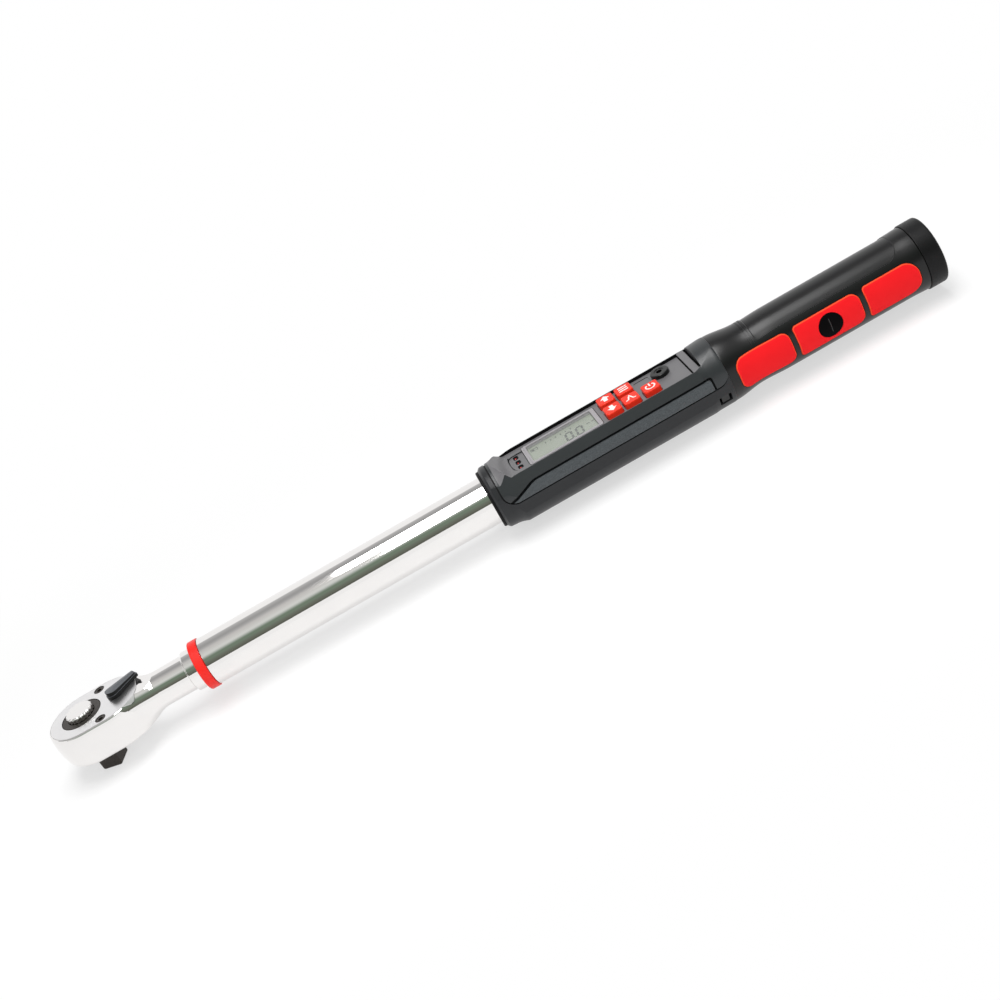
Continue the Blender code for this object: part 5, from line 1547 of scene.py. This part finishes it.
def pad_corners(number, grow=0.0):
    """Side view of one pad, with its own roundness at each end."""
    front = PAD_FRONTS[number] - grow
    rear = PAD_FRONTS[number] + PAD_LENGTHS[number] + grow
    begin, end = (corner + grow for corner in PAD_CORNERS[number])
    low = PAD_LOW - grow
    high = PAD_HIGH + grow
    return filleted([(front, low, begin), (rear, low, end), (rear, high, end), (front, high, begin)], 10)


def pad_block(number, grow, low, high):
    return slab(pad_corners(number, grow), low, high)


def pad_grid(work, number):
    front = PAD_FRONTS[number]
    return gridded(work, (front - 1, PAD_LOW - 1), (front + PAD_LENGTHS[number] + 1, PAD_HIGH + 1), 1.4)


def edge_distance(number, x, z):
    """How far a point lies inside a pad's outline."""
    beyond = x - PAD_FRONTS[number] - PAD_LENGTHS[number] / 2
    corner = PAD_CORNERS[number][0 if beyond < 0 else 1]
    u = abs(beyond) - PAD_LENGTHS[number] / 2 + corner
    v = abs(z - (PAD_LOW + PAD_HIGH) / 2) - (PAD_HIGH - PAD_LOW) / 2 + corner
    outside = math.hypot(max(u, 0), max(v, 0)) + min(max(u, v), 0)
    return corner - outside


def ridge_block():
    """The cutter for the long, slightly sunk panel on top of the handle, still flat."""
    front, rear = RIDGE_ENDS
    near, far = RIDGE_CORNERS
    corners = [
        (front, -RIDGE_HALF, near),
        (rear, -RIDGE_HALF, far),
        (rear, RIDGE_HALF, far),
        (front, RIDGE_HALF, near),
    ]
    ridge = slab(filleted(corners, 14), -RIDGE_SUNK, 3.0)
    softened(ridge, level(-RIDGE_SUNK), 0.9, 1)
    return gridded(ridge, (front - 1, -RIDGE_HALF - 1), (rear + 1, RIDGE_HALF + 1), 2.0)


def ring_groove(place):
    """A fine line round the upper part of the handle."""
    radius = handle_radius(place) - RING_GROOVE[1]
    half = RING_GROOVE[0] / 2
    front = place - half
    rear = place + half
    ring = turned([(front, radius), (front, FAR), (rear, FAR), (rear, radius)], 128)
    return within(ring, slab(rounded_box((place, 0), (10, 2 * RIDGE_HALF), 0.5), 0, 2 * FAR))


def make_handle():
    front = STEP_END + 1
    profile = [(front, HANDLE_BORE), (front, HANDLE_SPIGOT), (HANDLE_SEAM, HANDLE_SPIGOT)]
    profile += [(HANDLE_SEAM, 20.3), (HANDLE_SEAM + 0.2, 20.4)]
    profile += HANDLE_LINE[1:] + [(HANDLE_REAR, HANDLE_BORE)]
    handle = cut(turned(profile, 192), wrapped(ridge_block(), 0))
    handle = cut(handle, *(ring_groove(place) for place in GROOVE_PLACES))
    for side in (-1, 1):
        handle = joined(handle, latch_bar(side, LATCH_SIZE, 15.5, 19.9))
        for number in range(3):
            recess = pad_grid(pad_block(number, GAP, -PAD_DEPTH, 5.0), number)
            handle = cut(handle, wrapped(recess, side))
    piece("handle_grip", handle, BLACK_PLASTIC, "black_plastic", "handle_body")


def make_pads():
    for side, side_name in ((-1, "left"), (1, "right")):
        for number, place_name in enumerate(("front", "middle", "rear")):
            pad = pad_block(number, 0.0, GAP - PAD_DEPTH, PAD_PROUD)
            softened(pad, level(PAD_PROUD), 0.55, 4)
            if number == 1:
                pad = cut(pad, rod(DISC_RADIUS + GAP, -FAR, FAR, DISC_SPOT, 64))
            pad_grid(pad, number)
            # Painted highlight: marks the band along each pad's edge that its finish paints lighter orange.
            rim = pad.verts.layers.float.new("rim")
            for vert in pad.verts:
                depth = edge_distance(number, vert.co.x, vert.co.y)
                vert[rim] = 1.0 if depth < RIM_HIGHLIGHT_WIDTH else 0.0
            name = f"pad_{side_name}_{place_name}"
            piece(name, wrapped(pad, side), GRIP_RED, "red_rubber", f"grip_{name}")
        disc = rod(DISC_RADIUS, GAP - PAD_DEPTH, DISC_PROUD, DISC_SPOT, 64)
        softened(disc, level(DISC_PROUD), 0.35, 3)
        disc = cut(disc, slab(rounded_box(DISC_SPOT, (0.5, 9.0), 0.2), DISC_PROUD - 0.25, FAR))
        middle = Vector(DISC_SPOT)
        gridded(disc, middle - Vector((8, 8)), middle + Vector((8, 8)), 1.4)
        for face in disc.faces:
            centre = face.calc_center_median()
            in_slot = abs(centre.x - middle.x) < 0.26 and DISC_PROUD - 0.3 < centre.z < DISC_PROUD - 0.1
            face.material_index = 1 if in_slot else 0
        looks = (DISC_BLACK, CHARCOAL)
        node = f"load_point_{side_name}"
        piece(f"load_disc_{side_name}", wrapped(disc, side), looks, "black_plastic", node)


def make_end_cap():
    low, high = span("end_cap")
    corners = [
        (low.x, 0, 0),
        (low.x, CAP_SPIGOT, 0.4),
        (CAP_FRONT, CAP_SPIGOT, 0),
        (CAP_FRONT, CAP_RADIUS, 0.4),
        (high.x, CAP_RADIUS, 1.6),
        (high.x, 15.2, 0.4),
        (high.x - 1.2, 14.0, 0.4),
        (high.x - 1.2, 0, 0),
    ]
    piece("screw_cap", turned(filleted(corners, 6), 160), CAP_BLACK, "black_plastic", "end_cap", body="cap")


make_handle()
make_pads()
make_end_cap()


# Finishes of the inner nodes

INNER_FINISHES = {
    "spring_steel": SPRING_STEEL,
    "black_steel": BLACK_STEEL,
    "copper_film": COPPER_FILM,
    "black_rubber": BLACK_RUBBER,
    "board_green": BOARD_GREEN,
    "black_plastic": BLACK_PLASTIC,
    "cell_jacket": CELL_JACKET,
}
INNER_NODES = {
    "spring_steel": ("detent_ball", "lever_plunger", "plunger_spring", "front_contact", "contact_spring"),
    "black_steel": ("pawl",),
    "copper_film": ("strain_gauge_left", "strain_gauge_right"),
    "black_rubber": ("gauge_lead", "battery_lead", "cap_seal"),
    "board_green": ("circuit_board",),
    "black_plastic": ("buzzer", "battery_liner"),
    "cell_jacket": ("battery_front", "battery_rear"),
}
for slot, nodes in INNER_NODES.items():
    for node in nodes:
        for material_slot in frame["nodes"][node].material_slots:
            material_slot.material = INNER_FINISHES[slot]


# Floor, light and camera

FLOOR_HALF = 4.0
FLOOR_WHITE = (0.95, 0.95, 0.95, 1.0)
FLOOR_GLOW = 0.6
GLOW_NEAR = 0.06
GLOW_FAR = 0.30
WORLD_LEVEL = 0.26
ARCH_RADIUS = 2.2
ARCH_ENDS = (-3.5, 4.0)
ARCH_LOW = 10.0
ARCH_HIGH = 168.0
ARCH_TONES = (
    (10, (0.115, 0.12, 0.10)),
    (18, (0.14, 0.15, 0.12)),
    (26, (0.165, 0.185, 0.15)),
    (34, (0.185, 0.235, 0.18)),
    (42, (0.18, 0.235, 0.175)),
    (47, (0.30, 0.35, 0.30)),
    (51, (0.46, 0.50, 0.46)),
    (57, (0.68, 0.70, 0.67)),
    (62, (0.72, 0.73, 0.71)),
    (72, (0.66, 0.66, 0.64)),
    (84, (0.60, 0.59, 0.58)),
    (96, (0.42, 0.42, 0.42)),
    (104, (0.37, 0.37, 0.37)),
    (112, (0.40, 0.40, 0.40)),
    (127, (0.52, 0.52, 0.52)),
    (133, (1.0, 1.0, 1.0)),
    (168, (1.0, 1.0, 1.0)),
)
SOFTBOX_PLACE = (0.40, -0.10, 1.5)
SOFTBOX_SIZE = (0.78, 0.76)
SOFTBOX_POWER = 14.0
SIDE_BOX_PLACE = (0.26, -0.66, 1.34)
SIDE_BOX_SIZE = (0.34, 0.46)
SIDE_BOX_POWER = 5.5
FILL_PLACE = (0.1, -1.25, 0.85)
FILL_TARGET = (0.28, 0.0, 0.02)
FILL_SIZE = (1.4, 0.8)
FILL_POWER = 6.0
CAMERA_ROLL = 29.8
CAMERA_RISE = 27.5
CAMERA_LENS = 61.2
CAMERA_DISTANCE = 0.960
CAMERA_AIM = (0.264, 0.0028)


def stage_sheet(name, work, shader):
    """A sheet of the studio with its own shader, which isn't part of the wrench."""
    mesh = bpy.data.meshes.new(name)
    work.to_mesh(mesh)
    work.free()
    sheet = bpy.data.objects.new(name, mesh)
    bpy.context.scene.collection.objects.link(sheet)
    made = bpy.data.materials.new(name)
    made.use_nodes = True
    made.node_tree.nodes.clear()
    wire = Wire(made.node_tree)
    wire.node("ShaderNodeOutputMaterial", inputs={"Surface": shader(wire)}, output=None)
    mesh.materials.append(made)
    return sheet


def seen_directly(tree):
    """1 for rays from the camera, glossy surfaces and glass, and 0 for rays that only carry light."""
    path = tree.nodes.new("ShaderNodeLightPath")
    seen = Wire(tree, path.outputs["Is Camera Ray"])
    for name in ("Is Glossy Ray", "Is Transmission Ray"):
        seen = seen.maths("MAXIMUM", seen, Wire(tree, path.outputs[name]))
    return seen


def floor_white(wire):
    """White that keeps the wrench's soft shadow and is pure white away from it."""
    along = wire.node("ShaderNodeSeparateXYZ", inputs={"Vector": wire.place()}, output="X")
    across = wire.node("ShaderNodeSeparateXYZ", inputs={"Vector": wire.place()}, output="Y")
    low, high = CAD_BOX
    beyond = wire.maths("ABSOLUTE", along - (low[0] + high[0]) / 2) - (high[0] - low[0]) / 2
    beyond = wire.maths("MAXIMUM", beyond, 0.0)
    apart = wire.maths("SQRT", beyond * beyond + across * across)
    fields = {"Value": apart, "From Min": GLOW_NEAR, "From Max": GLOW_FAR}
    fields.update({"To Min": FLOOR_GLOW, "To Max": 1.0})
    glow_share = wire.node("ShaderNodeMapRange", {"interpolation_type": "SMOOTHSTEP"}, fields)
    matte = wire.node("ShaderNodeBsdfDiffuse", inputs={"Color": FLOOR_WHITE})
    glow = wire.node("ShaderNodeEmission", inputs={"Color": (1.0, 1.0, 1.0, 1.0), "Strength": 1.0})
    share = glow_share * seen_directly(wire.tree)
    return wire.node("ShaderNodeMixShader", inputs={0: share, 1: matte, 2: glow})


def arch_tones(wire):
    """Dark behind the camera, grey overhead and pale behind the wrench."""
    across = wire.node("ShaderNodeSeparateXYZ", inputs={"Vector": wire.place()}, output="Y")
    upward = wire.node("ShaderNodeSeparateXYZ", inputs={"Vector": wire.place()}, output="Z")
    turn = wire.maths("ARCTAN2", upward - AXIS_HEIGHT, 0 - across) / math.pi
    stops = [(angle / 180, tone) for angle, tone in ARCH_TONES]
    tone = wire.node("ShaderNodeValToRGB", {"stops": stops}, {"Fac": turn})
    return wire.node("ShaderNodeEmission", inputs={"Color": tone, "Strength": 1.0})


def make_floor():
    work = bmesh.new()
    bmesh.ops.create_grid(work, x_segments=1, y_segments=1, size=FLOOR_HALF)
    stage_sheet("floor", work, floor_white)


def make_arch():
    """A curved card over the wrench that only its reflections see."""
    work = bmesh.new()
    turns = circle((0, AXIS_HEIGHT), ARCH_RADIUS, 80, ARCH_LOW, ARCH_HIGH)
    dots = [work.verts.new((ARCH_ENDS[0], -u, v)) for u, v in turns]
    edges = [work.edges.new(pair) for pair in zip(dots, dots[1:])]
    made = bmesh.ops.extrude_edge_only(work, edges=edges)["geom"]
    fresh = [part for part in made if isinstance(part, bmesh.types.BMVert)]
    bmesh.ops.translate(work, vec=(ARCH_ENDS[1] - ARCH_ENDS[0], 0, 0), verts=fresh)
    arch = stage_sheet("reflection_card", work, arch_tones)
    arch.visible_camera = False
    arch.visible_diffuse = False
    arch.visible_transmission = False
    arch.visible_shadow = False


def make_world():
    world = bpy.data.worlds.new("studio")
    bpy.context.scene.world = world
    world.use_nodes = True
    background = world.node_tree.nodes["Background"]
    background.inputs["Color"].default_value = (1.0, 1.0, 1.0, 1.0)
    level_seen = WORLD_LEVEL + (1 - WORLD_LEVEL) * seen_directly(world.node_tree)
    feed(world.node_tree, background.inputs["Strength"], level_seen)


def area_lamp(name, place, target, size, power):
    data = bpy.data.lights.new(name, "AREA")
    data.shape = "RECTANGLE"
    data.size, data.size_y = size
    data.energy = power
    lamp = bpy.data.objects.new(name, data)
    bpy.context.scene.collection.objects.link(lamp)
    lamp.location = place
    lamp.rotation_euler = (Vector(target) - Vector(place)).to_track_quat("-Z", "Y").to_euler()
    return lamp


def make_lamps_of_studio():
    under = (SOFTBOX_PLACE[0], SOFTBOX_PLACE[1], 0)
    area_lamp("softbox", SOFTBOX_PLACE, under, SOFTBOX_SIZE, SOFTBOX_POWER)
    area_lamp("side_box", SIDE_BOX_PLACE, FILL_TARGET, SIDE_BOX_SIZE, SIDE_BOX_POWER)
    area_lamp("front_fill", FILL_PLACE, FILL_TARGET, FILL_SIZE, FILL_POWER).visible_glossy = False


def make_camera():
    """Looks across the wrench from its left, rolled so that the handle is up to the right."""
    roll = math.radians(CAMERA_ROLL)
    rise = math.radians(CAMERA_RISE)
    steep = Vector((0, math.sin(rise), math.cos(rise)))
    back = Vector((0, -math.cos(rise), math.sin(rise)))
    right = math.cos(roll) * Vector((1, 0, 0)) - math.sin(roll) * steep
    up = math.sin(roll) * Vector((1, 0, 0)) + math.cos(roll) * steep
    data = bpy.data.cameras.new("camera")
    data.lens = CAMERA_LENS
    data.sensor_width = 36.0
    camera = bpy.data.objects.new("camera", data)
    bpy.context.scene.collection.objects.link(camera)
    turn = Matrix((right, up, back)).transposed().to_4x4()
    aim = Vector((CAMERA_AIM[0], 0, AXIS_HEIGHT)) - CAMERA_AIM[1] * steep
    camera.matrix_world = Matrix.Translation(aim + CAMERA_DISTANCE * back) @ turn
    bpy.context.scene.camera = camera


make_floor()
make_arch()
make_world()
make_lamps_of_studio()
make_camera()
bpy.context.scene.view_settings.view_transform = "Standard"
